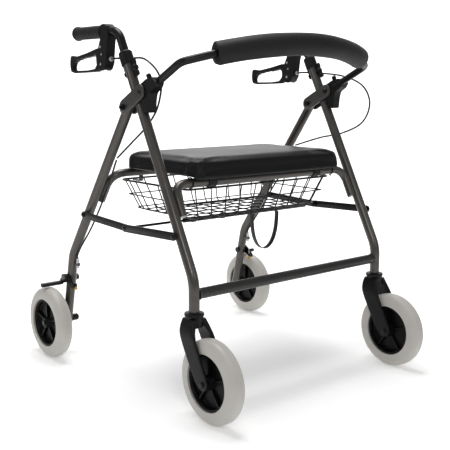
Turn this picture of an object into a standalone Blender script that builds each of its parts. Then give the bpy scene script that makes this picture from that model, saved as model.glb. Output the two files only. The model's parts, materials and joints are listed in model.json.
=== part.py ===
"""Bariatric four-wheel rollator: steel tube frame, swivelling front forks, solid tyres,
padded seat on two bent rails, wire basket, curved backrest, height-adjustable handles
with loop brakes. Metres, +Z up, the front faces -Y, the floor is Z = 0."""
import math

import bmesh
import bpy
import numpy as np
from mathutils import Vector

for old in list(bpy.data.objects):
    bpy.data.objects.remove(old, do_unlink=True)

# Clearances
GAP = 0.0003
RUN = 0.0010

# Number of flats round each kind of turned piece
LEG_SIDES = 12
RAIL_SIDES = 12
BACK_SIDES = 10
PAD_SIDES = 12
WHEEL_SIDES = 20
ARC_POINTS = 11

# Wheels
WHEEL_R = 0.100
TYRE_W = 0.042
RIM_R = 0.0670
FRONT_AXLE_Y = -0.3325
REAR_AXLE_Y = 0.3325
REAR_WHEEL_X = 0.374
AXLE_R = 0.0050

# Frame tubes
LEG_X = 0.319
LEG_R = 0.013
LEG_BORE_R = 0.0113
RAIL_R = 0.011
FRONT_TILT = math.radians(27.45)
FRONT_REF_Y, FRONT_REF_Z = -0.0225, 0.790
FRONT_TOP_Z = 0.838
STEM_Y = -0.2657
LEG_BOTTOM_Z = 0.2495
CROSSBAR_Z = 0.2910

# Hub where front and rear legs meet
HUB_Y, HUB_Z = -0.0080, 0.7130
PROP_Y, PROP_Z = -0.0780, 0.7500
PLATE_T = 0.0040
PLATE_R = 0.0180
BOLT_R = 0.0040
REAR_SLOPE = 0.713
REAR_BEND_Z = 0.2973

# Seat, rails and basket
RAIL_END_Z = 0.460
FRONT_RAIL_Z = 0.5335
REAR_RAIL_Z = 0.5370
CUSHION_X = 0.260
CUSHION_FRONT_Y, CUSHION_REAR_Y = -0.195, 0.125
CUSHION_TOP_Z = 0.5920
CLIP_X = 0.182
BASKET_X, BASKET_LOW_X = 0.250, 0.218
BASKET_FRONT_Y, BASKET_REAR_Y = -0.150, 0.146
BASKET_TOP_Z, BASKET_MID_Z, BASKET_LOW_Z = 0.5160, 0.4770, 0.4370
BASKET_INSET_Y = 0.026
WIRE_R = 0.0018
RIM_WIRE_R = 0.0028
WIRE_PITCH = 0.050
FLOOR_PITCH = 0.070
BRACKET_X = 0.200
BRACKET_T = 0.0030

# Side braces and the bar that joins their middle hinges
BRACE_Z = 0.4215
BRACE_SAG = 0.0080
BRACE_MID_Y = -0.0086
BRACE_T = 0.0040
BRACE_W = 0.0190

# Backrest
BACK_R = 0.0095
BACK_X = 0.3145
BACK_DROP = math.radians(26.6)
BACK_FOOT_Y, BACK_FOOT_Z = -0.1000, 0.7605
BACK_BEND_S = 0.1280
BACK_ARC_R = 0.534
BACK_ARC_S = 0.2284
PAD_R = 0.0275
PAD_HALF_X = 0.2425

# Handles
HANDLE_R = 0.011
HOLE_PITCH = 0.0318
HANDLE_RISE = 0.0318
HANDLE_BEND_Z = FRONT_TOP_Z + HANDLE_RISE
GRIP_R = 0.0165
GRIP_START, GRIP_END = 0.0700, 0.1980
LEVER_PIVOT = (0.0610, -0.0560)

# Brakes
BRAKE_ABOVE_TYRE = 0.0270
BRAKE_PIVOT_Y, BRAKE_PIVOT_Z = 0.3035, 2 * WHEEL_R + BRAKE_ABOVE_TYRE
CABLE_R = 0.0025


def material(name, colour, metallic, roughness):
    m = bpy.data.materials.new(name)
    m.use_nodes = True
    shader = m.node_tree.nodes["Principled BSDF"]
    shader.inputs["Base Color"].default_value = (*colour, 1.0)
    shader.inputs["Metallic"].default_value = metallic
    shader.inputs["Roughness"].default_value = roughness
    return m


FRAME_PAINT = material("frame_paint", (0.105, 0.098, 0.088), 0.6, 0.38)
DARK_PAINT = material("dark_paint", (0.045, 0.045, 0.043), 0.4, 0.42)
BLACK_STEEL = material("black_steel", (0.014, 0.014, 0.015), 0.3, 0.45)
BLACK_PLASTIC = material("black_plastic", (0.013, 0.013, 0.014), 0.0, 0.45)
GRIP_RUBBER = material("grip_rubber", (0.020, 0.020, 0.019), 0.0, 0.75)
TYRE_GREY = material("tyre_grey", (0.390, 0.370, 0.335), 0.0, 0.55)
SEAT_VINYL = material("seat_vinyl", (0.012, 0.012, 0.014), 0.0, 0.32)
PAD_FOAM = material("pad_foam", (0.016, 0.016, 0.015), 0.0, 0.70)
WEBBING = material("webbing", (0.010, 0.010, 0.011), 0.0, 0.85)
CABLE_BLACK = material("cable_black", (0.012, 0.012, 0.013), 0.0, 0.40)


def front_y(z):
    """Centre line of the sloping part of the front legs."""
    return FRONT_REF_Y - math.tan(FRONT_TILT) * (FRONT_REF_Z - z)


def rear_y(z):
    """Centre line of the sloping part of the rear legs."""
    return HUB_Y + REAR_SLOPE * (HUB_Z - z)


UP_LEG = Vector((0.0, math.sin(FRONT_TILT), math.cos(FRONT_TILT)))
FORWARD = Vector((0.0, -math.cos(FRONT_TILT), math.sin(FRONT_TILT)))
LEG_TOP = Vector((0.0, front_y(FRONT_TOP_Z), FRONT_TOP_Z))
REAR_BEND_Y = rear_y(REAR_BEND_Z)
LOWER_SLOPE = (REAR_AXLE_Y - REAR_BEND_Y) / (REAR_BEND_Z - WHEEL_R)
FRONT_RAIL_Y = front_y(FRONT_RAIL_Z)
REAR_RAIL_Y = rear_y(REAR_RAIL_Z)
CUSHION_LOW_Z = FRONT_RAIL_Z + RAIL_R + 0.0035 + GAP
SIDES = (("right", -1.0), ("left", 1.0))


def flat(radius, sides):
    """Corner radius of a round outline whose flats stand at the given radius."""
    return radius / math.cos(math.pi / sides)


def depth(radius, sides):
    """Distance from the axis to the flats of a round outline with corners at the radius."""
    return radius * math.cos(math.pi / sides)


# Faces of a block whose corners go round its near side and then round its far side
BLOCK_FACES = [(0, 1, 2, 3), (7, 6, 5, 4), (0, 4, 5, 1), (1, 5, 6, 2), (2, 6, 7, 3), (3, 7, 4, 0)]


def mesh_from(name, verts, faces):
    mesh = bpy.data.meshes.new(name)
    mesh.from_pydata([tuple(v) for v in verts], [], faces)
    bm = bmesh.new()
    bm.from_mesh(mesh)
    bmesh.ops.recalc_face_normals(bm, faces=bm.faces)
    bm.to_mesh(mesh)
    bm.free()
    obj = bpy.data.objects.new(name, mesh)
    bpy.context.scene.collection.objects.link(obj)
    return obj


def combine(obj, others, operation, solver="EXACT"):
    """Joins or cuts one tool after another, then drops the tools."""
    for other in others:
        mod = obj.modifiers.new("combine", "BOOLEAN")
        mod.solver = solver
        mod.operation = operation
        mod.object = other
        graph = bpy.context.evaluated_depsgraph_get()
        mesh = bpy.data.meshes.new_from_object(obj.evaluated_get(graph))
        obj.modifiers.clear()
        obj.data = mesh
        bpy.data.objects.remove(other, do_unlink=True)
    return obj


def join(obj, *others):
    return combine(obj, others, "UNION")


def weld(obj, *others):
    """Joins crossing rods, whose flats lie too close together for the exact solver."""
    return combine(obj, others, "UNION", "MANIFOLD")


def cut(obj, *others):
    return combine(obj, others, "DIFFERENCE")


def finish(obj, name, paint, pivot=(0.0, 0.0, 0.0), angle=35.0):
    """Names the piece, moves its origin to its joint and sets paint and shading."""
    obj.name = name
    obj.data.name = name
    pivot = Vector(pivot)
    for v in obj.data.vertices:
        v.co -= pivot
    obj.location = pivot
    obj.data.materials.clear()
    obj.data.materials.append(paint)
    for p in obj.data.polygons:
        p.material_index = 0
        p.use_smooth = True
    obj.data.set_sharp_from_angle(angle=math.radians(angle))
    return obj


def fillet(points, radius, steps):
    """Rounds the inner corners of a polyline."""
    pts = [Vector(p) for p in points]
    radii = radius if isinstance(radius, (list, tuple)) else [radius] * (len(pts) - 2)
    out = [pts[0]]
    for i in range(1, len(pts) - 1):
        a = (pts[i - 1] - pts[i]).normalized()
        b = (pts[i + 1] - pts[i]).normalized()
        half = a.angle(b) / 2.0
        run = radii[i - 1] / math.tan(half)
        start = pts[i] + a * run
        centre = pts[i] + (a + b).normalized() * (radii[i - 1] / math.sin(half))
        first = start - centre
        last = pts[i] + b * run - centre
        turn = first.angle(last)
        for k in range(steps + 1):
            t = k / steps
            w = (math.sin((1 - t) * turn), math.sin(t * turn))
            out.append(centre + (first * w[0] + last * w[1]) / math.sin(turn))
    out.append(pts[-1])
    return out


def section_frames(path):
    """Tangent and two normals at each point, carried along without twist."""
    path = [Vector(p) for p in path]
    n = len(path)
    tangents = []
    for i in range(n):
        d = path[min(i + 1, n - 1)] - path[max(i - 1, 0)]
        if 0 < i < n - 1:
            d = (path[i + 1] - path[i]).normalized() + (path[i] - path[i - 1]).normalized()
        tangents.append(d.normalized())
    side = Vector((1, 0, 0)) if abs(tangents[0].x) < 0.8 else Vector((0, 0, 1))
    side = (side - tangents[0] * side.dot(tangents[0])).normalized()
    frames = []
    for t in tangents:
        side = (side - t * side.dot(t)).normalized()
        frames.append((t, side, t.cross(side)))
    return path, frames


def tube(path, radius, sides=16, squash=1.0):
    """A solid round rod along a path; radius may change from point to point."""
    path, frames = section_frames(path)
    radii = radius if isinstance(radius, (list, tuple)) else [radius] * len(path)
    verts, faces = [], []
    for p, r, (t, u, v) in zip(path, radii, frames):
        for k in range(sides):
            a = 2 * math.pi * (k + 0.5) / sides
            verts.append(p + u * (r * math.cos(a)) + v * (r * squash * math.sin(a)))
    for i in range(len(path) - 1):
        for k in range(sides):
            j = (k + 1) % sides
            faces.append((i * sides + k, i * sides + j, (i + 1) * sides + j, (i + 1) * sides + k))
    faces.append(tuple(range(sides)))
    last = (len(path) - 1) * sides
    faces.append(tuple(last + k for k in reversed(range(sides))))
    return mesh_from("tube", verts, faces)


def lathe(profile, origin, axis, sides=24, loop=False):
    """Turns (radius, height) points about an axis; a loop has no point on the axis."""
    origin, axis = Vector(origin), Vector(axis).normalized()
    side = Vector((0, 1, 0)) if abs(axis.y) < 0.8 else Vector((1, 0, 0))
    side = (side - axis * side.dot(axis)).normalized()
    other = axis.cross(side)
    verts, rings = [], []
    for r, h in profile:
        if r <= 0.0:
            rings.append([len(verts)] * sides)
            verts.append(origin + axis * h)
            continue
        rings.append([len(verts) + k for k in range(sides)])
        for k in range(sides):
            a = 2 * math.pi * (k + 0.5) / sides
            verts.append(origin + axis * h + side * (r * math.cos(a)) + other * (r * math.sin(a)))
    pairs = list(zip(rings, rings[1:]))
    if loop:
        pairs.append((rings[-1], rings[0]))
    faces = []
    for low, high in pairs:
        for k in range(sides):
            j = (k + 1) % sides
            face = []
            for v in (low[k], low[j], high[j], high[k]):
                if v not in face:
                    face.append(v)
            if len(face) > 2:
                faces.append(tuple(face))
    if not loop:
        for ring, (r, h) in ((rings[0], profile[0]), (rings[-1], profile[-1])):
            if r > 0.0:
                faces.append(tuple(ring))
    return mesh_from("lathe", verts, faces)


def cylinder(start, end, radius, sides=12):
    start, end = Vector(start), Vector(end)
    return lathe([(radius, 0.0), (radius, (end - start).length)], start, end - start, sides)


def drill(start, end, radius, sides=12):
    """A round cutter whose flats, not its corners, stand at the radius."""
    return cylinder(start, end, flat(radius, sides), sides)


def prism(outline, low, high, axis="x"):
    """A flat outline given thickness along one axis."""
    order = {
        "x": lambda a, b, c: (c, a, b), "y": lambda a, b, c: (a, c, b), "z": lambda a, b, c: (a, b, c),
    }[axis]
    n = len(outline)
    verts = [order(a, b, low) for a, b in outline] + [order(a, b, high) for a, b in outline]
    faces = [tuple(range(n)), tuple(reversed(range(n, 2 * n)))]
    for k in range(n):
        j = (k + 1) % n
        faces.append((k, n + k, n + j, j))
    return mesh_from("prism", verts, faces)


def box(x, y, z):
    return prism([(x[0], y[0]), (x[1], y[0]), (x[1], y[1]), (x[0], y[1])], z[0], z[1], "z")


def rounded(outline, radius, steps=3):
    """Rounds every corner of a closed flat outline."""
    pts = [Vector((a, b, 0)) for a, b in outline]
    radii = radius if isinstance(radius, (list, tuple)) else [radius] * len(pts)
    out = []
    for i, p in enumerate(pts):
        if radii[i] <= 0.0:
            out.append((p.x, p.y))
            continue
        corner = fillet(
            [p.lerp(pts[i - 1], 0.999), p, p.lerp(pts[(i + 1) % len(pts)], 0.999)], radii[i], steps,
        )
        out += [(q.x, q.y) for q in corner[1:-1]]
    return out


def slab(a, b, radius, steps=4):
    """Outline of a bar with two round ends, between centres a and b."""
    a, b = Vector((*a, 0)), Vector((*b, 0))
    base = math.atan2(b.y - a.y, b.x - a.x)
    out = []
    for centre, start in ((b, base - math.pi / 2), (a, base + math.pi / 2)):
        for k in range(steps + 1):
            t = start + math.pi * k / steps
            out.append((centre.x + radius * math.cos(t), centre.y + radius * math.sin(t)))
    return out


RAIL_X = LEG_X - depth(LEG_R, LEG_SIDES) - depth(RAIL_R, RAIL_SIDES) - GAP

# Front legs: hollow above for the handle tubes, bored below for the fork stems
for side, s in SIDES:
    x = s * LEG_X
    leg = tube(
        fillet(
            [
                (x, LEG_TOP.y, LEG_TOP.z),
                (x, STEM_Y, FRONT_REF_Z - (FRONT_REF_Y - STEM_Y) / math.tan(FRONT_TILT)),
                (x, STEM_Y, LEG_BOTTOM_Z),
            ],
            0.10,
            4,
        ),
        LEG_R,
        LEG_SIDES,
    )
    top = Vector((x, LEG_TOP.y, LEG_TOP.z))
    bore = drill(top - UP_LEG * 0.205, top + UP_LEG * 0.01, LEG_BORE_R, LEG_SIDES)
    stem_hole = drill((x, STEM_Y, LEG_BOTTOM_Z - 0.01), (x, STEM_Y, LEG_BOTTOM_Z + 0.042), 0.0063, 8)
    pin = top - UP_LEG * 0.045
    pin_hole = drill(pin - FORWARD * 0.02, pin + FORWARD * 0.02, 0.0034, 6)
    cut(leg, bore, stem_hole, pin_hole)
    finish(leg, "front_leg_" + side, FRAME_PAINT)

# Crossbar between the front legs, its ends coped to the tubes
bar = cylinder(
    (-LEG_X + 0.004, STEM_Y, CROSSBAR_Z), (LEG_X - 0.004, STEM_Y, CROSSBAR_Z), 0.0128, LEG_SIDES,
)
for s in (-1.0, 1.0):
    cut(
        bar,
        drill(
            (s * LEG_X, STEM_Y, CROSSBAR_Z - 0.03), (s * LEG_X, STEM_Y, CROSSBAR_Z + 0.03), LEG_R + GAP,
            LEG_SIDES,
        ),
    )
finish(bar, "crossbar", DARK_PAINT)


# Seat rails: one bent tube between the front legs, one between the rear legs
def seat_rail(line_y, z, end_z):
    pts = [
        (-RAIL_X, line_y(end_z), end_z), (-RAIL_X, line_y(z), z), (RAIL_X, line_y(z), z),
        (RAIL_X, line_y(end_z), end_z),
    ]
    return tube(fillet(pts, 0.050, 4), RAIL_R, RAIL_SIDES)


finish(seat_rail(front_y, FRONT_RAIL_Z, RAIL_END_Z), "seat_rail_front", DARK_PAINT)

# Rear legs with stub axle, spacer, axle nut, brake cable stop and guide
for side, s in SIDES:
    x = s * LEG_X
    tip = Vector((0, -REAR_SLOPE, 1.0)).normalized() * 0.0145
    foot_z = WHEEL_R - 0.016
    leg = tube(
        fillet(
            [
                (x, HUB_Y + tip.y, HUB_Z + tip.z),
                (x, REAR_BEND_Y, REAR_BEND_Z),
                (x, REAR_AXLE_Y + LOWER_SLOPE * (WHEEL_R - foot_z), foot_z),
            ],
            0.09,
            3,
        ),
        LEG_R,
        LEG_SIDES,
    )
    cut(leg, drill((x - 0.03, HUB_Y, HUB_Z), (x + 0.03, HUB_Y, HUB_Z), BOLT_R + GAP, 8))
    cut(
        leg,
        drill(
            (x - 0.03, BRAKE_PIVOT_Y, BRAKE_PIVOT_Z), (x + 0.03, BRAKE_PIVOT_Y, BRAKE_PIVOT_Z), 0.0043,
            8,
        ),
    )
    boss = REAR_WHEEL_X - 0.0205
    axle = lathe(
        [
            (0.0060, 0.2860),
            (0.0098, 0.2900),
            (0.0098, boss - RUN),
            (AXLE_R, boss - RUN),
            (AXLE_R, REAR_WHEEL_X + 0.0205 + GAP),
            (0.0080, REAR_WHEEL_X + 0.0205 + GAP),
            (0.0080, REAR_WHEEL_X + 0.0230),
            (0.0055, REAR_WHEEL_X + 0.0245),
        ],
        (0, REAR_AXLE_Y, WHEEL_R),
        (s, 0, 0),
        8,
    )
    stop_y, stop_z = 0.2690, 0.2700
    tab = prism(
        rounded(
            [
                (stop_y - 0.007, stop_z - 0.004), (stop_y + 0.025, stop_z - 0.006),
                (stop_y + 0.020, stop_z + 0.006), (stop_y - 0.007, stop_z + 0.004),
            ],
            0.002, 1,
        ),
        x - s * 0.0015 - 0.004,
        x - s * 0.0015 + 0.004,
    )
    barrel = lathe(
        [(0.0046, -0.010), (0.0046, 0.010), (0.0036, 0.010), (0.0036, 0.017)],
        (x - s * 0.0015, stop_y, stop_z), (0, 0, 1), 8,
    )
    join(leg, axle, tab, barrel)
    finish(leg, "rear_leg_" + side, FRAME_PAINT, (0, HUB_Y, HUB_Z))

rail = seat_rail(rear_y, REAR_RAIL_Z, 0.4615)
for s in (-1.0, 1.0):
    wire_low = BASKET_TOP_Z - RIM_WIRE_R - GAP
    near, far = REAR_RAIL_Y + 0.002, BASKET_REAR_Y + 0.0070
    hook = prism(
        [
            (near, REAR_RAIL_Z - 0.006),
            (near, wire_low - BRACKET_T),
            (far, wire_low - BRACKET_T),
            (far, wire_low),
            (near + BRACKET_T, wire_low),
            (near + BRACKET_T, REAR_RAIL_Z - 0.006),
        ],
        s * BRACKET_X - 0.006,
        s * BRACKET_X + 0.006,
    )
    join(rail, hook)
finish(rail, "seat_rail_rear", DARK_PAINT, (0, HUB_Y, HUB_Z))

# Hub plates: two on each front leg, tied through the backrest prop bolt
for side, s in SIDES:
    outer = LEG_X + LEG_R + GAP
    inner = LEG_X - LEG_R - GAP
    plate = prism(slab((PROP_Y, PROP_Z), (HUB_Y, HUB_Z), PLATE_R), s * outer, s * (outer + PLATE_T))
    mate = prism(slab((PROP_Y, PROP_Z), (HUB_Y, HUB_Z), PLATE_R), s * (inner - PLATE_T), s * inner)
    for p in (plate, mate):
        cut(p, drill((s * 0.28, HUB_Y, HUB_Z), (s * 0.36, HUB_Y, HUB_Z), BOLT_R + GAP, 8))
    bolt = lathe(
        [
            (0.0048, inner - PLATE_T - 0.0060),
            (0.0062, inner - PLATE_T - 0.0045),
            (0.0062, inner - PLATE_T + 0.001),
            (BOLT_R, inner - PLATE_T + 0.001),
            (BOLT_R, outer + PLATE_T - 0.001),
            (0.0066, outer + PLATE_T - 0.001),
            (0.0066, outer + PLATE_T + 0.0030),
        ],
        (0, PROP_Y, PROP_Z),
        (s, 0, 0),
        8,
    )
    join(plate, bolt, mate)
    finish(plate, "hub_plates_" + side, FRAME_PAINT)

    pivot = lathe(
        [
            (0.0068, inner - PLATE_T - 0.0060),
            (0.0068, inner - PLATE_T - GAP),
            (BOLT_R, inner - PLATE_T - GAP),
            (BOLT_R, outer + PLATE_T + GAP),
            (0.0078, outer + PLATE_T + GAP),
            (0.0078, outer + PLATE_T + 0.0060),
            (BOLT_R, outer + PLATE_T + 0.0060),
            (BOLT_R, outer + PLATE_T + 0.0105),
        ],
        (0, HUB_Y, HUB_Z),
        (s, 0, 0),
        8,
    )
    finish(pivot, "hub_pivot_bolt_" + side, BLACK_STEEL)

# Collars that hold the handle tubes, each with the head of its height bolt
for side, s in SIDES:
    top = Vector((s * LEG_X, LEG_TOP.y, LEG_TOP.z))
    collar = lathe(
        [
            (flat(LEG_R + GAP, LEG_SIDES), -0.026),
            (flat(LEG_R + GAP, LEG_SIDES), GAP),
            (flat(HANDLE_R + GAP, LEG_SIDES), GAP),
            (flat(HANDLE_R + GAP, LEG_SIDES), 0.0060),
            (0.0158, 0.0070),
            (0.0175, 0.0040),
            (0.0175, -0.026),
        ],
        top,
        UP_LEG,
        LEG_SIDES,
        loop=True,
    )
    pin = top - UP_LEG * 0.045
    strap_corners = [
        top - UP_LEG * a - FORWARD * b + Vector((w, 0, 0))
        for b in (LEG_R + GAP, 0.0168)
        for a, w in ((0.016, -0.0062), (0.016, 0.0062), (0.050, 0.0062), (0.050, -0.0062))
    ]
    strap = mesh_from("strap", strap_corners, BLOCK_FACES)
    head = lathe(
        [
            (0.0030, LEG_BORE_R + GAP), (0.0030, LEG_R + 0.001), (0.0084, LEG_R + 0.001),
            (0.0084, LEG_R + 0.0060), (0.0060, LEG_R + 0.0080),
        ],
        pin,
        -FORWARD,
        8,
    )
    join(collar, strap, head)
    finish(collar, "height_collar_" + side, BLACK_PLASTIC)

# Wing knobs that tighten the height bolts
for side, s in SIDES:
    pin = Vector((s * LEG_X, LEG_TOP.y, LEG_TOP.z)) - UP_LEG * 0.045
    knob = lathe(
        [
            (0.0030, LEG_BORE_R + GAP), (0.0030, LEG_R + 0.0010), (0.0085, LEG_R + 0.0010),
            (0.0085, LEG_R + 0.0125), (0.0060, LEG_R + 0.0150),
        ],
        pin,
        FORWARD,
        8,
    )
    wings = []
    for w in (1.0, -1.0):
        base = pin + FORWARD * (LEG_R + 0.0070)
        pts = []
        for along, half, thick in (
            (0.004, 0.0050, 0.0042), (0.014, 0.0070, 0.0040), (0.0215, 0.0052, 0.0034),
        ):
            for a, b in ((-1, -1), (1, -1), (1, 1), (-1, 1)):
                lift = 0.0035 * (along / 0.0215)
                pts.append(
                    base + UP_LEG * (w * along) + FORWARD * (b * half + lift) + Vector((a * thick, 0, 0))
                )
        quads = [(0, 1, 2, 3), (11, 10, 9, 8)]
        for i in (0, 4):
            for k in range(4):
                j = (k + 1) % 4
                quads.append((i + k, i + 4 + k, i + 4 + j, i + j))
        wings.append(mesh_from("wing", pts, quads))
    join(knob, *wings)
    finish(knob, "wing_knob_" + side, BLACK_PLASTIC, pin)


# Front forks: crown, two slanting blades, axle and stem in one casting
def fork_blade(x0, x1):
    outline = [
        (-0.2480, 0.2250),
        (-0.2500, 0.1950),
        (-0.2640, 0.1680),
        (-0.2900, 0.1230),
        (-0.3155, 0.0880),
        (-0.3325, 0.0835),
        (-0.3475, 0.0915),
        (-0.3490, 0.1060),
        (-0.3265, 0.1500),
        (-0.3060, 0.1900),
        (-0.2860, 0.2300),
    ]
    shift = FRONT_AXLE_Y + 0.3325
    return prism(
        rounded(
            [(y + shift, z) for y, z in outline],
            [0.003, 0.02, 0.02, 0.02, 0.010, 0.010, 0.008, 0.010, 0.02, 0.02, 0.003], 1,
        ),
        x0, x1,
    )


for side, s in SIDES:
    x = s * LEG_X
    crown = lathe(
        [
            (0.0055, LEG_BOTTOM_Z + 0.038),
            (0.0055, LEG_BOTTOM_Z - GAP),
            (0.0215, LEG_BOTTOM_Z - GAP),
            (0.0235, LEG_BOTTOM_Z - 0.0040),
            (0.0235, LEG_BOTTOM_Z - 0.0080),
            (0.0212, LEG_BOTTOM_Z - 0.0100),
            (0.0212, 0.2140),
        ],
        (x, STEM_Y, 0),
        (0, 0, 1),
        12,
    )
    bridge = prism(
        [
            (x - 0.0205, 0.2400),
            (x - 0.0275, 0.2240),
            (x - 0.0308, 0.2060),
            (x - 0.0245, 0.2000),
            (x - 0.0200, 0.2120),
            (x - 0.0100, 0.2170),
            (x + 0.0100, 0.2170),
            (x + 0.0200, 0.2120),
            (x + 0.0245, 0.2000),
            (x + 0.0308, 0.2060),
            (x + 0.0275, 0.2240),
            (x + 0.0205, 0.2400),
        ],
        STEM_Y - 0.0190,
        STEM_Y + 0.0165,
        "y",
    )
    near = fork_blade(x - 0.0310, x - 0.0246)
    far = fork_blade(x + 0.0246, x + 0.0310)
    axle = lathe(
        [
            (0.0068, -0.0340), (0.0068, -0.0300), (AXLE_R, -0.0300), (AXLE_R, 0.0300), (0.0068, 0.0300),
            (0.0068, 0.0340),
        ],
        (x, FRONT_AXLE_Y, WHEEL_R),
        (1, 0, 0),
        8,
    )
    join(crown, bridge, near, far, axle)
    finish(crown, "caster_fork_" + side, BLACK_PLASTIC, (x, STEM_Y, LEG_BOTTOM_Z))


# Wheels: round-shouldered solid tyre on a ribbed rim
def tyre(x, y):
    w = TYRE_W / 2
    tread = flat(WHEEL_R, WHEEL_SIDES)
    half = [(RIM_R + GAP, 0.0180), (tread - 0.0160, w), (tread - 0.0055, 0.0155), (tread, 0.0050)]
    profile = [(r, -h) for r, h in half] + [(r, h) for r, h in reversed(half)]
    return lathe(profile, (x, y, WHEEL_R), (1, 0, 0), WHEEL_SIDES, loop=True)


def rim(x, y, boss):
    half = [
        (flat(AXLE_R + GAP, WHEEL_SIDES), boss), (0.0145, boss), (0.0580, 0.0035), (0.0600, 0.0170),
        (RIM_R, 0.0170),
    ]
    profile = [(r, -h) for r, h in half] + [(r, h) for r, h in reversed(half)]
    wheel = lathe(profile, (x, y, WHEEL_R), (1, 0, 0), WHEEL_SIDES, loop=True)
    for k in range(5):
        a = 2 * math.pi * k / 5 + 0.3
        u = Vector((0, math.cos(a), math.sin(a)))
        v = Vector((0, -math.sin(a), math.cos(a)))
        pts = []
        for r, h, t in ((0.0120, 0.0140, 0.0026), (0.0592, 0.0110, 0.0020)):
            for p, q in ((-1, -1), (1, -1), (1, 1), (-1, 1)):
                pts.append(Vector((x, y, WHEEL_R)) + u * r + v * (p * t) + Vector((q * h, 0, 0)))
        rib = mesh_from(
            "rib", pts,
            [(0, 1, 2, 3), (7, 6, 5, 4), (0, 4, 5, 1), (1, 5, 6, 2), (2, 6, 7, 3), (3, 7, 4, 0)],
        )
        join(wheel, rib)
    return wheel


for side, s in SIDES:
    axle = (s * LEG_X, FRONT_AXLE_Y, WHEEL_R)
    finish(tyre(axle[0], axle[1]), "front_tyre_" + side, TYRE_GREY, axle)
    finish(rim(axle[0], axle[1], 0.0236), "front_rim_" + side, BLACK_PLASTIC, axle)
    axle = (s * REAR_WHEEL_X, REAR_AXLE_Y, WHEEL_R)
    finish(tyre(axle[0], axle[1]), "rear_tyre_" + side, TYRE_GREY, axle)
    finish(rim(axle[0], axle[1], 0.0205), "rear_rim_" + side, BLACK_PLASTIC, axle)

# Brake arms: pivot pin through the leg, lever plate, shoe over the tyre, cable clamp
for side, s in SIDES:
    outer = LEG_X + LEG_R + GAP
    plate = prism(
        rounded(
            [
                (0.2660, BRAKE_PIVOT_Z - 0.0240), (0.2770, BRAKE_PIVOT_Z - 0.0240),
                (0.3020, BRAKE_PIVOT_Z - 0.0110), (0.3260, BRAKE_PIVOT_Z - 0.0190),
                (0.3400, BRAKE_PIVOT_Z - 0.0220), (0.3420, BRAKE_PIVOT_Z - 0.0120),
                (0.3200, BRAKE_PIVOT_Z + 0.0090), (0.3000, BRAKE_PIVOT_Z + 0.0130),
                (0.2660, BRAKE_PIVOT_Z - 0.0130),
            ],
            0.003,
            1,
        ),
        s * outer,
        s * (outer + 0.0045),
    )
    shoe = prism(
        rounded(
            [
                (0.3265, BRAKE_PIVOT_Z - 0.0228), (0.3400, BRAKE_PIVOT_Z - 0.0234),
                (0.3415, BRAKE_PIVOT_Z - 0.0130), (0.3270, BRAKE_PIVOT_Z - 0.0120),
            ],
            0.0022, 1,
        ),
        s * (outer + 0.002),
        s * (REAR_WHEEL_X + 0.0235),
    )
    clamp = lathe(
        [(0.0042, -0.0070), (0.0042, 0.0070)], (s * (LEG_X + 0.0065), 0.2705, BRAKE_PIVOT_Z - 0.0185),
        (0, 0, 1), 8,
    )
    ear = box(
        sorted((s * (LEG_X + 0.0045), s * (outer + 0.001))), (0.2672, 0.2738),
        (BRAKE_PIVOT_Z - 0.0215, BRAKE_PIVOT_Z - 0.0155),
    )
    pin = lathe(
        [
            (0.0088, LEG_X - LEG_R - 0.0065), (0.0088, LEG_X - LEG_R - GAP),
            (BOLT_R, LEG_X - LEG_R - GAP), (BOLT_R, outer + 0.002), (0.0075, outer + 0.002),
            (0.0075, outer + 0.0090),
        ],
        (0, BRAKE_PIVOT_Y, BRAKE_PIVOT_Z),
        (s, 0, 0),
        8,
    )
    spring = lathe(
        [(0.0098, outer + 0.0030), (0.0098, outer + 0.0070)], (0, 0.3180, BRAKE_PIVOT_Z), (s, 0, 0), 8,
    )
    join(plate, pin, shoe, ear, clamp, spring)
    finish(plate, "brake_arm_" + side, BLACK_STEEL, (0, BRAKE_PIVOT_Y, BRAKE_PIVOT_Z))

# Side braces: front half outside, rear half against the leg, hinged in the middle
front_end = (front_y(BRACE_Z), BRACE_Z)
rear_end = (rear_y(BRACE_Z), BRACE_Z)
middle = (BRACE_MID_Y, BRACE_Z - BRACE_SAG)
for side, s in SIDES:
    first = LEG_X + LEG_R + GAP
    second = first + BRACE_T + GAP
    rear_half = prism(slab(middle, rear_end, BRACE_W / 2), s * first, s * (first + BRACE_T))
    rear_bolt = lathe(
        [
            (0.0066, first + BRACE_T - 0.001), (0.0066, first + BRACE_T + 0.0045),
            (0.0038, first + BRACE_T + 0.0045), (0.0034, first + BRACE_T + 0.0085),
        ],
        (0, *rear_end), (s, 0, 0), 8,
    )
    join(rear_half, rear_bolt)
    finish(rear_half, "brace_rear_" + side, BLACK_STEEL, (s * LEG_X, *rear_end))
    front_half = prism(slab(front_end, middle, BRACE_W / 2 + 0.0005), s * second, s * (second + BRACE_T))
    front_bolt = lathe(
        [(0.0072, first + GAP), (0.0072, second + BRACE_T + 0.0020), (0.0045, second + BRACE_T + 0.0045)],
        (0, *front_end), (s, 0, 0), 8,
    )
    mid_bolt = lathe(
        [(0.0052, second + BRACE_T - 0.001), (0.0052, second + BRACE_T + 0.0028)], (0, *middle),
        (s, 0, 0), 8,
    )
    join(front_half, front_bolt, mid_bolt)
    finish(front_half, "brace_front_" + side, BLACK_STEEL, (s * LEG_X, *front_end))

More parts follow.
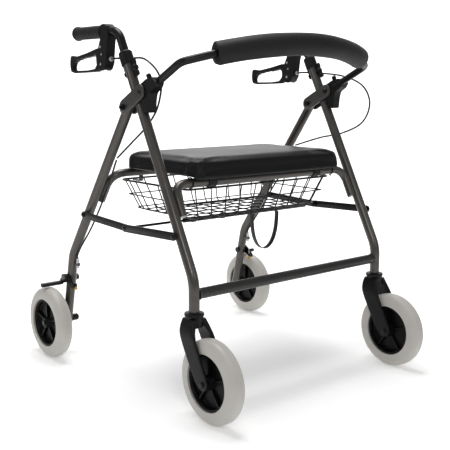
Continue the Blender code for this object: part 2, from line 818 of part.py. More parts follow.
# Fold bar between the middle hinges, with its sleeve, and the webbing pull hung on it
inside = LEG_X + LEG_R
rod = lathe(
    [
        (0.0034, -inside),
        (0.0034, -0.156),
        (0.0064, -0.156),
        (0.0064, -0.130),
        (0.0078, -0.128),
        (0.0078, -0.116),
        (0.0064, -0.114),
        (0.0064, -0.030),
        (0.0078, -0.028),
        (0.0078, -0.016),
        (0.0064, -0.014),
        (0.0064, 0.2980),
        (0.0034, 0.2980),
        (0.0034, inside),
    ],
    (0, *middle),
    (1, 0, 0),
    12,
)
finish(rod, "fold_bar", BLACK_STEEL, (0, *front_end))


def ribbon(path, width_dir, width, thick):
    """A flat strap along a path."""
    path = [Vector(p) for p in path]
    wide = Vector(width_dir).normalized() * (width / 2)
    verts, faces = [], []
    n = len(path)
    for i, p in enumerate(path):
        t = (path[min(i + 1, n - 1)] - path[max(i - 1, 0)]).normalized()
        up = t.cross(wide).normalized() * (thick / 2)
        verts += [p - wide - up, p + wide - up, p + wide + up, p - wide + up]
    for i in range(n - 1):
        for k in range(4):
            j = (k + 1) % 4
            faces.append((4 * i + k, 4 * i + j, 4 * i + 4 + j, 4 * i + 4 + k))
    faces.append((0, 1, 2, 3))
    faces.append((4 * n - 1, 4 * n - 2, 4 * n - 3, 4 * n - 4))
    return mesh_from("ribbon", verts, faces)


loop_x, loop_y, loop_z = 0.135, BRACE_MID_Y, BRACE_Z - BRACE_SAG - 0.0064 - GAP
droop = []
for k in range(11):
    t = math.pi * k / 10
    droop.append((loop_x + 0.048 * math.cos(t), loop_y, loop_z - 0.104 * math.sin(t) ** 0.8))
finish(ribbon(droop, (0, 1, 0), 0.016, 0.0022), "fold_strap", WEBBING, (0, *front_end))


# Seat cushion: soft box with round corners and a domed top
def cushion_ring(inset, z, radius):
    x = CUSHION_X - inset
    y0, y1 = CUSHION_FRONT_Y + inset, CUSHION_REAR_Y - inset
    out = rounded([(-x, y0), (x, y0), (x, y1), (-x, y1)], max(radius - inset, 0.006), 5)
    return [(a, b, z) for a, b in out]


rings = [
    cushion_ring(0.0060, CUSHION_LOW_Z, 0.045),
    cushion_ring(0.0010, CUSHION_LOW_Z + 0.007, 0.045),
    cushion_ring(0.0000, CUSHION_LOW_Z + 0.022, 0.045),
    cushion_ring(0.0030, CUSHION_TOP_Z - 0.012, 0.045),
    cushion_ring(0.0110, CUSHION_TOP_Z - 0.0045, 0.045),
    cushion_ring(0.0360, CUSHION_TOP_Z, 0.060),
]
count = len(rings[0])
verts = [p for ring in rings for p in ring]
faces = [tuple(range(count)), tuple(reversed(range(count * 5, count * 6)))]
for i in range(5):
    for k in range(count):
        j = (k + 1) % count
        faces.append((i * count + k, i * count + j, (i + 1) * count + j, (i + 1) * count + k))
seat_axis = (0, FRONT_RAIL_Y, FRONT_RAIL_Z)
finish(mesh_from("cushion", verts, faces), "seat_cushion", SEAT_VINYL, seat_axis, 50)

# Hinge clips that wrap the front rail under the cushion
for side, s in SIDES:
    r0, r1 = RAIL_R + GAP, RAIL_R + 0.0030
    arc = []
    for k in range(8):
        t = math.radians(160 + 220 * k / 7)
        arc.append((t, r1))
    outline = [(FRONT_RAIL_Y + r * math.cos(t), FRONT_RAIL_Z + r * math.sin(t)) for t, r in arc]
    outline.append((FRONT_RAIL_Y + r1, FRONT_RAIL_Z + r1))
    outline.append((FRONT_RAIL_Y + 0.030, FRONT_RAIL_Z + r1 - 0.0005))
    outline.append((FRONT_RAIL_Y + 0.030, CUSHION_LOW_Z - GAP))
    outline.append((FRONT_RAIL_Y - 0.0140, CUSHION_LOW_Z - GAP))
    block = prism(outline, s * CLIP_X - 0.0125, s * CLIP_X + 0.0125)
    hole = drill(
        (s * CLIP_X - 0.02, FRONT_RAIL_Y, FRONT_RAIL_Z), (s * CLIP_X + 0.02, FRONT_RAIL_Y, FRONT_RAIL_Z),
        r0, RAIL_SIDES,
    )
    cut(block, hole)
    finish(block, "seat_clip_" + side, BLACK_PLASTIC, seat_axis)


# Wire basket: five flat panels of welded rods
def rod_between(a, b, r, sides=4):
    return tube([a, b], r, sides)


def grid_panel(corners, uprights, rows, out, thick_rows=(0,)):
    """Uprights and rows of rods on a four-cornered panel, corners from the top left."""
    tl, tr, bl, br = [Vector(c) for c in corners]
    out = Vector(out).normalized()
    pieces = []
    for k in rows:
        a, b = tl.lerp(bl, k), tr.lerp(br, k)
        thick = k in thick_rows
        pieces.append(rod_between(a, b, RIM_WIRE_R if thick else WIRE_R, 6 if thick else 4))
    for u in uprights:
        top, low = tl.lerp(tr, u), bl.lerp(br, u)
        d = (top - low).normalized()
        shift = out * (-WIRE_R * 1.3)
        pieces.append(rod_between(top + d * 0.0005 + shift, low - d * 0.0010 + shift, WIRE_R))
    body = pieces[0]
    return weld(body, *pieces[1:])


def spread(length, pitch):
    n = int(round(length / pitch))
    return [(k + 0.5) / n for k in range(n)]


X0, X1 = BASKET_X, BASKET_LOW_X
YF, YR = BASKET_FRONT_Y, BASKET_REAR_Y
YFL, YRL = YF + BASKET_INSET_Y, YR - BASKET_INSET_Y
ZT, ZB = BASKET_TOP_Z, BASKET_LOW_Z
row_mid = (ZT - BASKET_MID_Z) / (ZT - ZB)
PANELS = {
    "basket_front": (
        [(-X0, YF, ZT), (X0, YF, ZT), (-X1, YFL, ZB), (X1, YFL, ZB)], spread(2 * X0, WIRE_PITCH),
        (0, -1, 0),
    ),
    "basket_rear": (
        [(-X0, YR, ZT), (X0, YR, ZT), (-X1, YRL, ZB), (X1, YRL, ZB)], spread(2 * X0, WIRE_PITCH),
        (0, 1, 0),
    ),
    "basket_right": (
        [(-X0, YF, ZT), (-X0, YR, ZT), (-X1, YFL, ZB), (-X1, YRL, ZB)], spread(YR - YF, WIRE_PITCH),
        (-1, 0, 0),
    ),
    "basket_left": (
        [(X0, YF, ZT), (X0, YR, ZT), (X1, YFL, ZB), (X1, YRL, ZB)], spread(YR - YF, WIRE_PITCH),
        (1, 0, 0),
    ),
}
for name, (corners, uprights, out) in PANELS.items():
    c = [Vector(p) for p in corners]
    along = (c[1] - c[0]).normalized()
    trim = RIM_WIRE_R + WIRE_R + GAP
    if name in ("basket_front", "basket_rear"):
        c = [c[0] + along * trim, c[1] - along * trim, c[2] + along * trim, c[3] - along * trim]
    panel = grid_panel(c, uprights, (0, row_mid, 1), out)
    if name in ("basket_right", "basket_left"):
        s = out[0]
        sleeve = rod_between((s * X0, YF - 0.0050, ZT), (s * X0, YR + 0.005, ZT), RIM_WIRE_R, 6)
        weld(panel, sleeve)
        hook = []
        reach = RAIL_R + GAP + 0.0016
        for k in range(9):
            t = math.radians(-90 - 235 * k / 8)
            hook.append(
                (
                    s * (X0 - 0.0062), FRONT_RAIL_Y + reach * math.cos(t),
                    FRONT_RAIL_Z + reach * math.sin(t),
                )
            )
        stub = tube(
            [
                (s * (X0 + 0.001), FRONT_RAIL_Y, FRONT_RAIL_Z - reach - 0.0020),
                (s * (X0 - 0.0070), FRONT_RAIL_Y, FRONT_RAIL_Z - reach - 0.0020),
            ],
            0.0022, 5,
        )
        weld(panel, stub, tube(hook, 0.0015, 5))
    finish(panel, name, BLACK_STEEL, seat_axis, 50)

# Basket floor: rods across on rods along, inside the lower edge of the walls
floor_z = ZB - 2 * WIRE_R - GAP
fx, fy0, fy1 = X1 - 0.002, YFL + 0.002, YRL - 0.002
floor_rods = []
for u in spread(2 * X0, FLOOR_PITCH):
    x = -X1 + 2 * X1 * u
    floor_rods.append(rod_between((x, fy0, floor_z), (x, fy1, floor_z), WIRE_R))
cross = None
for k in range(4):
    y = fy0 + 0.004 + (fy1 - fy0 - 0.008) * k / 3
    rod = rod_between((-fx, y, floor_z + 0.0022), (fx, y, floor_z + 0.0022), WIRE_R)
    cross = rod if cross is None else cross
    if cross is not rod:
        floor_rods.append(rod)
weld(cross, *floor_rods)
for v in cross.data.vertices:
    v.co.z -= 0.0006
finish(cross, "basket_floor", BLACK_STEEL, seat_axis, 50)


# Backrest: bent tube in a sloping plane, foam pad, and two props on the hub bolts
def back_point(x, along, rise=0.0):
    return Vector(
        (
            x, BACK_FOOT_Y - along * math.cos(BACK_DROP) + rise * math.sin(BACK_DROP),
            BACK_FOOT_Z + along * math.sin(BACK_DROP) + rise * math.cos(BACK_DROP),
        )
    )


def arc_along(x):
    return BACK_ARC_S - (BACK_ARC_R - math.sqrt(BACK_ARC_R**2 - x**2))


arc = [back_point(x, arc_along(x)) for x in np.linspace(-0.262, 0.262, ARC_POINTS)]
path = fillet([back_point(-BACK_X, 0.004), back_point(-BACK_X, BACK_BEND_S), arc[0]], 0.026, 4)[:-1] + arc
path += list(
    reversed(fillet([back_point(BACK_X, 0.004), back_point(BACK_X, BACK_BEND_S), arc[-1]], 0.026, 4)[:-1])
)
prop_axis = (0, PROP_Y, PROP_Z)
finish(tube(path, BACK_R, BACK_SIDES), "backrest_tube", BLACK_STEEL, prop_axis)

steps = np.linspace(-PAD_HALF_X, PAD_HALF_X, ARC_POINTS)
centre = [back_point(x, arc_along(x)) for x in steps]
centre_path = [centre[0], centre[0].lerp(centre[1], 0.12)] + centre[1:-1] + [
    centre[-1].lerp(centre[-2], 0.12), centre[-1],
]
pad_radii = [PAD_R - 0.0035] + [PAD_R] * (len(centre_path) - 2) + [PAD_R - 0.0035]
pad = tube(centre_path, pad_radii, PAD_SIDES)
cut(pad, tube(path, flat(BACK_R + GAP, BACK_SIDES), BACK_SIDES))
finish(pad, "backrest_pad", PAD_FOAM, prop_axis, 50)

for side, s in SIDES:
    x = s * LEG_X
    half = LEG_R - GAP
    body = prism(
        rounded(
            [
                (-0.0905, 0.7030),
                (-0.1050, 0.7010),
                (-0.1085, 0.7300),
                (-0.1130, 0.7480),
                (-0.1320, 0.7600),
                (-0.1400, 0.7720),
                (-0.1230, 0.7850),
                (-0.1000, 0.7800),
                (-0.0760, 0.7680),
                (-0.0650, 0.7560),
                (-0.0640, 0.7440),
                (-0.0740, 0.7360),
            ],
            [0.003, 0.003, 0.008, 0.008, 0.004, 0.003, 0.003, 0.008, 0.006, 0.005, 0.005, 0.006],
            1,
        ),
        x - half,
        x + half,
    )
    front_cut = drill(
        Vector((x, front_y(0.66), 0.66)), Vector((x, front_y(0.82), 0.82)), LEG_R + GAP, LEG_SIDES,
    )
    cut(body, front_cut)
    cut(body, drill((x - 0.03, PROP_Y, PROP_Z), (x + 0.03, PROP_Y, PROP_Z), BOLT_R + GAP, 8))
    foot = back_point(s * BACK_X, 0.004 - GAP)
    cut(body, drill(foot, back_point(s * BACK_X, 0.08), BACK_R + GAP, BACK_SIDES))
    plunger = tube(
        [
            back_point(x, 0.010, BACK_R + 0.0035), back_point(x, 0.009, BACK_R + 0.0110),
            back_point(x, 0.008, BACK_R + 0.0130), back_point(x, 0.007, BACK_R + 0.0205),
        ],
        [0.0045, 0.0045, 0.0068, 0.0062], 8,
    )
    join(body, plunger)
    finish(body, "backrest_prop_" + side, BLACK_PLASTIC, prop_axis)

# Handles: the right one stands one hole higher than the left one
RAISE = {"right": HOLE_PITCH, "left": 0.0}
for side, s in SIDES:
    x = s * LEG_X
    bend = Vector((x, front_y(HANDLE_BEND_Z), HANDLE_BEND_Z)) + UP_LEG * RAISE[side]

    def at(dy, dz, dx=0.0):
        return bend + Vector((s * dx, dy, dz))

    stem = fillet([bend - UP_LEG * 0.200, bend, at(GRIP_END - 0.006, 0)], 0.038, 4)
    finish(tube(stem, HANDLE_R, RAIL_SIDES), "handle_tube_" + side, BLACK_STEEL, bend)

    rings = [(0.0145, GRIP_START), (GRIP_R, GRIP_START + 0.002)]
    for k in range(4):
        y = GRIP_START + 0.012 + 0.025 * k
        rings += [(GRIP_R, y), (GRIP_R - 0.0012, y + 0.0065), (GRIP_R, y + 0.0130)]
    rings += [
        (GRIP_R, GRIP_END - 0.010), (GRIP_R + 0.0022, GRIP_END - 0.0070),
        (GRIP_R + 0.0022, GRIP_END - 0.0020), (0.0140, GRIP_END),
    ]
    grip = lathe(rings, at(0, 0), (0, 1, 0), RAIL_SIDES)
    cut(grip, drill(at(GRIP_START - 0.02, 0), at(GRIP_END - 0.006 + GAP, 0), HANDLE_R + GAP, RAIL_SIDES))
    finish(grip, "grip_" + side, GRIP_RUBBER, bend)

    housing = prism(
        rounded(
            [
                (bend.y + 0.0400, bend.z + 0.0185),
                (bend.y + 0.0270, bend.z - 0.0040),
                (bend.y + 0.0340, bend.z - 0.0300),
                (bend.y + 0.0385, bend.z - 0.0600),
                (bend.y + 0.0400, bend.z - 0.0780),
                (bend.y + 0.0520, bend.z - 0.0970),
                (bend.y + 0.0720, bend.z - 0.0960),
                (bend.y + 0.0860, bend.z - 0.0820),
                (bend.y + 0.0880, bend.z - 0.0600),
                (bend.y + 0.0760, bend.z - 0.0380),
                (bend.y + 0.0660, bend.z - 0.0170),
                (bend.y + 0.0660, bend.z + 0.0165),
            ],
            [0.010, 0.008, 0.010, 0.008, 0.006, 0.010, 0.006, 0.008, 0.006, 0.010, 0.004, 0.006],
            1,
        ),
        x - 0.0130,
        x + 0.0130,
    )
    sleeve = fillet([bend - UP_LEG * 0.060, bend, at(0.09, 0)], 0.038, 4)
    cut(housing, tube(sleeve, flat(HANDLE_R + GAP, RAIL_SIDES), RAIL_SIDES))
    pocket_outline = (
        (0.0440, -0.0400), (0.0440, -0.0720), (0.0620, -0.1100), (0.1200, -0.1100),
        (0.1200, -0.0200), (0.0700, -0.0360), (0.0610, -0.0380),
    )
    pocket = prism(
        [(bend.y + a, bend.z + b) for a, b in pocket_outline],
        x - 0.0080,
        x + 0.0080,
    )
    cut(housing, pocket)
    py, pz = bend.y + LEVER_PIVOT[0], bend.z + LEVER_PIVOT[1]
    cut(housing, drill((x - 0.02, py, pz), (x + 0.02, py, pz), 0.0033, 8))
    nose = lathe(
        [(0.0050, 0.0), (0.0050, 0.0060), (0.0034, 0.0120)], at(0.0410, -0.0683), (0, -1, 0.05), 8,
    )
    join(housing, nose)
    finish(housing, "brake_housing_" + side, BLACK_PLASTIC, bend)

    outline = rounded(
        [
            (bend.y + a, bend.z + b)
            for a, b in (
                (0.0500, -0.0500),
                (0.0620, -0.0450),
                (0.0960, -0.0400),
                (0.1450, -0.0500),
                (0.2000, -0.0585),
                (0.2260, -0.0545),
                (0.2320, -0.0600),
                (0.2330, -0.0800),
                (0.2280, -0.0980),
                (0.2100, -0.1020),
                (0.1400, -0.1005),
                (0.0950, -0.0990),
                (0.0800, -0.0900),
                (0.0640, -0.0700),
                (0.0500, -0.0650),
            )
        ],
        [
            0.004, 0.004, 0.006, 0.01, 0.006, 0.003, 0.003, 0.006, 0.008, 0.008, 0.01, 0.006, 0.006,
            0.006, 0.004,
        ],
        1,
    )
    lever = prism(outline, x - 0.0074, x + 0.0074)
    opening = rounded(
        [
            (bend.y + a, bend.z + b)
            for a, b in (
                (0.1040, -0.0560),
                (0.1300, -0.0610),
                (0.1550, -0.0620),
                (0.1900, -0.0680),
                (0.2080, -0.0740),
                (0.2170, -0.0860),
                (0.2140, -0.0950),
                (0.1400, -0.0945),
                (0.1080, -0.0910),
                (0.0960, -0.0800),
                (0.0960, -0.0660),
            )
        ],
        [0.004, 0.01, 0.01, 0.01, 0.006, 0.006, 0.004, 0.01, 0.008, 0.006, 0.005],
        1,
    )
    cut(lever, prism(opening, x - 0.02, x + 0.02))
    pin = cylinder((x - 0.0136, py, pz), (x + 0.0136, py, pz), 0.0030, 8)
    join(lever, pin)
    finish(lever, "brake_lever_" + side, BLACK_PLASTIC, (x, py, pz))


# Brake cables: from the housing, round the leg, to the clip on the rear leg, down to the stop
def smooth_path(points, count):
    """Even points on a smooth curve through the given ones."""
    pts = [Vector(p) for p in points]
    pts = [pts[0] * 2 - pts[1]] + pts + [pts[-1] * 2 - pts[-2]]
    out = []
    for i in range(1, len(pts) - 2):
        a, b, c, d = pts[i - 1 : i + 3]
        for k in range(count):
            t = k / count
            out.append(
                0.5 * (
                    (2 * b) + (c - a) * t + (
                        2 * a - 5 * b + 4 * c - d
                    ) * t * t + (3 * b - a - 3 * c + d) * t**3
                )
            )
    out.append(pts[-2])
    return out


def cord(name, points, count, paint, pivot):
    line = smooth_path(points[:-1], count) + [Vector(points[-1])]
    finish(tube(line, CABLE_R, 6), name, paint, pivot)


CLIP_Z = 0.575
clip_y = rear_y(CLIP_Z) - 0.0100
for side, s in SIDES:
    x = s * LEG_X
    bend = Vector((x, front_y(HANDLE_BEND_Z), HANDLE_BEND_Z)) + UP_LEG * RAISE[side]
    mouth = bend + Vector((0, 0.0285, -0.0677))
    if side == "right":
        upper = [
            mouth,
            mouth + Vector((0.0, -0.007, 0.0003)),
            mouth + Vector((0.006, -0.016, 0.001)),
            (x + 0.0225, 0.0080, mouth.z + 0.001),
            (x + 0.0260, -0.0400, mouth.z - 0.002),
            (x + 0.0300, -0.0850, mouth.z - 0.030),
            (x + 0.0320, -0.1000, 0.7650),
            (x + 0.0330, -0.0800, 0.7100),
            (x + 0.0320, -0.0350, 0.6650),
            (x + 0.0210, 0.0200, 0.6200),
            (x + 0.0165, clip_y - 0.004, CLIP_Z + 0.006),
        ]
    else:
        upper = [
            mouth,
            mouth + Vector((0.0, -0.007, 0.0003)),
            mouth + Vector((0.010, -0.019, 0.001)),
            (x + 0.0300, -0.0100, mouth.z - 0.001),
            (x + 0.0560, -0.0800, mouth.z - 0.010),
            (x + 0.0720, -0.1400, 0.7650),
            (x + 0.0765, -0.1650, 0.7150),
            (x + 0.0720, -0.1420, 0.6600),
            (x + 0.0620, -0.0750, 0.6270),
            (x + 0.0420, -0.0100, 0.6120),
            (x + 0.0185, clip_y - 0.006, CLIP_Z + 0.010),
        ]
    cord("cable_upper_" + side, upper, 2, CABLE_BLACK, bend)
    low_x = x - s * 0.0015
    side_x = x + (0.0165 if side == "right" else 0.0185)
    lower = [
        (side_x, clip_y + GAP, CLIP_Z),
        (side_x, rear_y(0.52) - 0.016, 0.52),
        (x - s * 0.0170 if side == "right" else x + 0.0100, rear_y(0.45) - 0.0180, 0.45),
        (x - s * 0.0120 if side == "right" else x + 0.0060, rear_y(0.38) - 0.0205, 0.38),
        (low_x, rear_y(0.325) - 0.0215, 0.325),
        (low_x, 0.2690, 0.2960),
        (low_x, 0.2690, 0.2870 + GAP),
    ]
    cord("cable_lower_" + side, lower, 2, CABLE_BLACK, (0, HUB_Y, HUB_Z))
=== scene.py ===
# %% [markdown]
# A wide folding rollator for heavy users, dressed for a studio photograph.
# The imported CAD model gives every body, joint and size. Each cell below makes one
# piece of the walker as a fine surface and lets it ride on the body that carries it.

# %% Load the frame
import json
import math

import bmesh
import bpy
import numpy as np
from mathutils import Matrix, Vector


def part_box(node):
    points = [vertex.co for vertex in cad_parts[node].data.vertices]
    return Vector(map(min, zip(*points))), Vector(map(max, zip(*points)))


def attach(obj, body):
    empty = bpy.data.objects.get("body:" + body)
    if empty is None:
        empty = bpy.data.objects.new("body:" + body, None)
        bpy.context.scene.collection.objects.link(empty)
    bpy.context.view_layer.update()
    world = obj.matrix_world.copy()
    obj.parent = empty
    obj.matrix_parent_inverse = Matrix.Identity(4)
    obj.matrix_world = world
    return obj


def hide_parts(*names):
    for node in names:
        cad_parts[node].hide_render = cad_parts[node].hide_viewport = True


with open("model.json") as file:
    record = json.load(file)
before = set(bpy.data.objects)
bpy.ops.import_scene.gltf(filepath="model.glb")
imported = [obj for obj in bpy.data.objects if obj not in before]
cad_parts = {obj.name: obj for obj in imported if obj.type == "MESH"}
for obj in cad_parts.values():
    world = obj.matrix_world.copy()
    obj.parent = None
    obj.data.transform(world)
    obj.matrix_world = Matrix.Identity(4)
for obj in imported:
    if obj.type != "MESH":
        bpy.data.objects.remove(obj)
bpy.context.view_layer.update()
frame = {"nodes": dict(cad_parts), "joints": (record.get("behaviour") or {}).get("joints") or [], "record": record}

RECORD = frame["record"]
BODY = {node: body for body, nodes in RECORD["behaviour"]["bodies"].items() for node in nodes}
SIDES = (("right", -1.0), ("left", 1.0))


def new_object(name, data):
    """An object for some data, linked to the scene."""
    obj = bpy.data.objects.new(name, data)
    bpy.context.scene.collection.objects.link(obj)
    return obj


# %% [markdown]
# The camera stands low at the front right corner, about 2.4 m from the middle, as a
# catalogue photographer would. Its place was solved from the wheels and the hub bolts.

# %% Camera
EYE = Vector((-1.4324, -1.7096, 0.7689))
YAW, PITCH, ROLL = (math.radians(a) for a in (39.859, 9.809, 0.111))
FOCAL_PIXELS, PICTURE_PIXELS, SENSOR_MM = 815.3, 450.0, 36.0

ahead = Vector((math.sin(YAW) * math.cos(PITCH), math.cos(YAW) * math.cos(PITCH), -math.sin(PITCH)))
level = ahead.cross(Vector((0, 0, 1))).normalized()
rise = level.cross(ahead)
right = level * math.cos(ROLL) + rise * math.sin(ROLL)
upward = rise * math.cos(ROLL) - level * math.sin(ROLL)
lens = bpy.data.cameras.new("camera")
lens.sensor_width = SENSOR_MM
lens.lens = FOCAL_PIXELS / PICTURE_PIXELS * SENSOR_MM
camera = new_object("camera", lens)
camera.matrix_world = Matrix.Translation(EYE) @ Matrix((right, upward, -ahead)).transposed().to_4x4()
bpy.context.scene.camera = camera
print("camera: %.1f mm lens, %.2f m from the middle" % (lens.lens, EYE.length))

# %% [markdown]
# Colours are written as sRGB hex values, the way a paint chart gives them. Shaders
# work in linear light, so one function turns them over. A second one adds a shader
# node with its settings and its links, and every material below is made with it.


# %% Colour and node helpers
PATCHY, GRAIN_STRENGTH = 0.15, 0.6


def linear(code):
    """sRGB hex to linear: below 0.04045 divide by 12.92, else ((c + 0.055) / 1.055) ** 2.4."""
    c = np.array([int(code[i : i + 2], 16) for i in (1, 3, 5)]) / 255.0
    return (*np.where(c <= 0.04045, c / 12.92, ((c + 0.055) / 1.055) ** 2.4), 1.0)


def add(paint, kind, settings=None, **feeds):
    """Adds a node, sets its options, and feeds its inputs with values or with other nodes' outputs."""
    node = paint.node_tree.nodes.new(kind)
    for key, value in (settings or {}).items():
        setattr(node, key, value)
    for key, value in feeds.items():
        named = key.replace("_", " ")
        socket = node.inputs[int(key[1:])] if key[1:].isdigit() else node.inputs[named]
        if isinstance(value, bpy.types.NodeSocket):
            paint.node_tree.links.new(value, socket)
        else:
            socket.default_value = value
    return node


def finish_of(
    name, dark, light, rough, grain_mm, depth_mm, mottle_mm=30.0, kind="ShaderNodeTexNoise", **sockets
):
    """A finish whose colour drifts from dark to light in patches and whose skin has a fine grain.

    grain_mm and mottle_mm are real sizes: a texture of scale s repeats about every 1 / s metres.
    """
    paint = bpy.data.materials.new(name)
    paint.use_nodes = True
    shader = paint.node_tree.nodes["Principled BSDF"]
    place = add(paint, "ShaderNodeTexCoord").outputs["Object"]
    mottle = add(paint, "ShaderNodeTexNoise", Vector=place, Scale=1000.0 / mottle_mm, Detail=4.0)
    drift = mottle.outputs["Fac"]
    tint = add(paint, "ShaderNodeMix", {"data_type": "RGBA"}, _0=drift, _6=linear(dark), _7=linear(light))
    low, high = rough * (1 - PATCHY), rough * (1 + PATCHY)
    wear = add(paint, "ShaderNodeMapRange", Value=drift, To_Min=low, To_Max=high)
    grain = add(paint, kind, Vector=place, Scale=1000.0 / grain_mm)
    height = grain.outputs["Fac" if kind == "ShaderNodeTexNoise" else "Distance"]
    bump = add(
        paint, "ShaderNodeBump", Height=height, Distance=depth_mm / 1000.0, Strength=GRAIN_STRENGTH
    )
    links = paint.node_tree.links
    links.new(tint.outputs[2], shader.inputs["Base Color"])
    links.new(wear.outputs["Result"], shader.inputs["Roughness"])
    links.new(bump.outputs["Normal"], shader.inputs["Normal"])
    for key, value in sockets.items():
        shader.inputs[key.replace("_", " ")].default_value = value
    print("finish:", name)
    return paint


# %% [markdown]
# The frame is steel tube with a metallic grey powder coat: fine flakes in a satin
# clear resin, baked to a slight orange peel about a millimetre across. The crossbar
# is a darker batch, and the small ironwork is plain black.

# %% Metal finishes
graphite_powder_coat = finish_of(
    "graphite_powder_coat", "#4a4744", "#585552", 0.30, 1.1, 0.05,
    Metallic=0.60, Coat_Weight=0.12, Coat_Roughness=0.20,
)
dark_powder_coat = finish_of("dark_powder_coat", "#2a2a29", "#343433", 0.38, 1.1, 0.05, Metallic=0.35)
black_powder_coat = finish_of(
    "black_powder_coat", "#090909", "#0f0f10", 0.30, 1.3, 0.04, Specular_IOR_Level=0.26
)
zinc_plate = finish_of("zinc_plate", "#b4b6b8", "#c9cacb", 0.28, 0.8, 0.02, Metallic=1.0)
brass = finish_of("brass", "#a8813a", "#c39b4c", 0.30, 0.8, 0.02, Metallic=1.0)

# %% [markdown]
# Forks, levers and housings are glass-filled nylon, moulded in a spark-eroded tool
# that leaves a fine even grain. The grips are softer rubber, and the tyres are solid
# pale grey polyurethane with a slightly cloudy skin.

# %% Moulded finishes
moulded_nylon = finish_of("moulded_nylon", "#0b0b0c", "#131314", 0.42, 0.9, 0.05, Specular_IOR_Level=0.19)
wheel_nylon = finish_of("wheel_nylon", "#070708", "#0c0c0e", 0.40, 0.9, 0.04, Specular_IOR_Level=0.13)
grip_rubber = finish_of("grip_rubber", "#151515", "#1d1d1c", 0.62, 0.8, 0.08, Specular_IOR_Level=0.30)
tyre_polyurethane = finish_of(
    "tyre_polyurethane", "#b2afa9", "#bfbcb6", 0.45, 1.6, 0.05,
    mottle_mm=60.0, Subsurface_Weight=0.04, Subsurface_Scale=0.01,
)
cable_sheath = finish_of("cable_sheath", "#0e0e0f", "#151516", 0.32, 1.0, 0.03, Specular_IOR_Level=0.35)

# %% [markdown]
# The seat is upholstered in black vinyl on knitted backing. Its embossed grain has
# pebbles about 1.5 mm across, drawn here at 2.2 mm so that they show. The backrest
# sleeve is closed-cell foam with a smooth moulded skin and tiny pores.

# %% Upholstery finishes
seat_vinyl = finish_of(
    "seat_vinyl", "#0a0a0b", "#101011", 0.42, 2.2, 0.10,
    mottle_mm=90.0, kind="ShaderNodeTexVoronoi", Specular_IOR_Level=0.20,
)
foam_skin = finish_of(
    "foam_skin", "#121212", "#191918", 0.60, 1.0, 0.07, mottle_mm=50.0, Specular_IOR_Level=0.28
)
webbing = finish_of(
    "webbing", "#0e0e0f", "#19191a", 0.80, 1.6, 0.25,
    mottle_mm=4.0, kind="ShaderNodeTexVoronoi", Sheen_Weight=0.3,
)

# %% [markdown]
# Every new piece is a skin over a grid of points. A tube is a section carried along
# a path, a knob is a profile turned about an axis, and a bracket is an outline with
# rolled edges. Each helper works on whole arrays and returns points and faces.


# %% Surface helpers
SIDE_SHARE = 0.49


def unit(v):
    """Each vector over its own length."""
    return v / np.linalg.norm(v, axis=-1, keepdims=True)


def skin(grid, loop=False):
    """Faces between the rows of a grid whose columns close on themselves; open ends get a cap."""
    rows, columns = grid.shape[:2]
    index = np.arange(rows * columns).reshape(rows, columns)
    if loop:
        index = np.vstack([index, index[:1]])
    nearby = np.roll(index, -1, axis=1)
    quads = np.stack([index[:-1], nearby[:-1], nearby[1:], index[1:]], axis=-1).reshape(-1, 4)
    faces = quads.tolist()
    if not loop:
        faces += [index[0][::-1].tolist(), index[-1].tolist()]
    return grid.reshape(-1, 3), faces


def circle(radius, sides=28, flat=1.0):
    """(r cos a, f r sin a) for equal steps of a."""
    a = np.arange(sides) * 2 * np.pi / sides
    return np.stack([radius * np.cos(a), radius * flat * np.sin(a)], axis=1)


def soft_box(width, height, edge, steps=4):
    """A rectangle with round corners: the four corner centres plus e (cos a, sin a)."""
    a = np.linspace(0, np.pi / 2, steps)
    corners = []
    for k, signs in enumerate(((1, 1), (-1, 1), (-1, -1), (1, -1))):
        t = a + k * np.pi / 2
        centre = np.array(signs) * (width / 2 - edge, height / 2 - edge)
        corners.append(centre + edge * np.stack([np.cos(t), np.sin(t)], 1))
    return np.concatenate(corners)


def bend(points, radii, steps=10, closed=False):
    """Rounds each corner: B(t) = (1 - t)**2 (p + a run) + 2 t (1 - t) p + t**2 (p + b run).

    a and b point from the corner p along its sides, and run = r / tan(half angle), as for an arc.
    """
    points = np.asarray(points, float)
    count = len(points)
    inner = range(count) if closed else range(1, count - 1)
    radii = np.broadcast_to(radii, len(inner))
    out = [] if closed else [points[:1]]
    for r, i in zip(radii, inner):
        p = points[i]
        back, on = points[i - 1] - p, points[(i + 1) % count] - p
        a, b = unit(back), unit(on)
        half = np.arccos(np.clip(a @ b, -1, 1)) / 2
        shortest = min(np.linalg.norm(back), np.linalg.norm(on))
        run = min(r / np.tan(half), SIDE_SHARE * shortest)
        t = np.linspace(0, 1, steps)[:, None]
        out.append((1 - t) ** 2 * (p + a * run) + 2 * t * (1 - t) * p + t**2 * (p + b * run))
    if not closed:
        out.append(points[-1:])
    return np.concatenate(out)


def through(points, steps=8):
    """Catmull-Rom: the cubic between two points whose end slopes are half the span of their neighbours."""
    p = np.asarray(points, float)
    p = np.vstack([2 * p[0] - p[1], p, 2 * p[-1] - p[-2]])
    a, b, c, d = (p[i : len(p) - 3 + i, None] for i in range(4))
    t = np.linspace(0, 1, steps, endpoint=False)[None, :, None]
    out = 0.5 * (2 * b + (c - a) * t + (2 * a - 5 * b + 4 * c - d) * t**2 + (3 * b - a - 3 * c + d) * t**3)
    return np.vstack([out.reshape(-1, p.shape[1]), p[-2]])


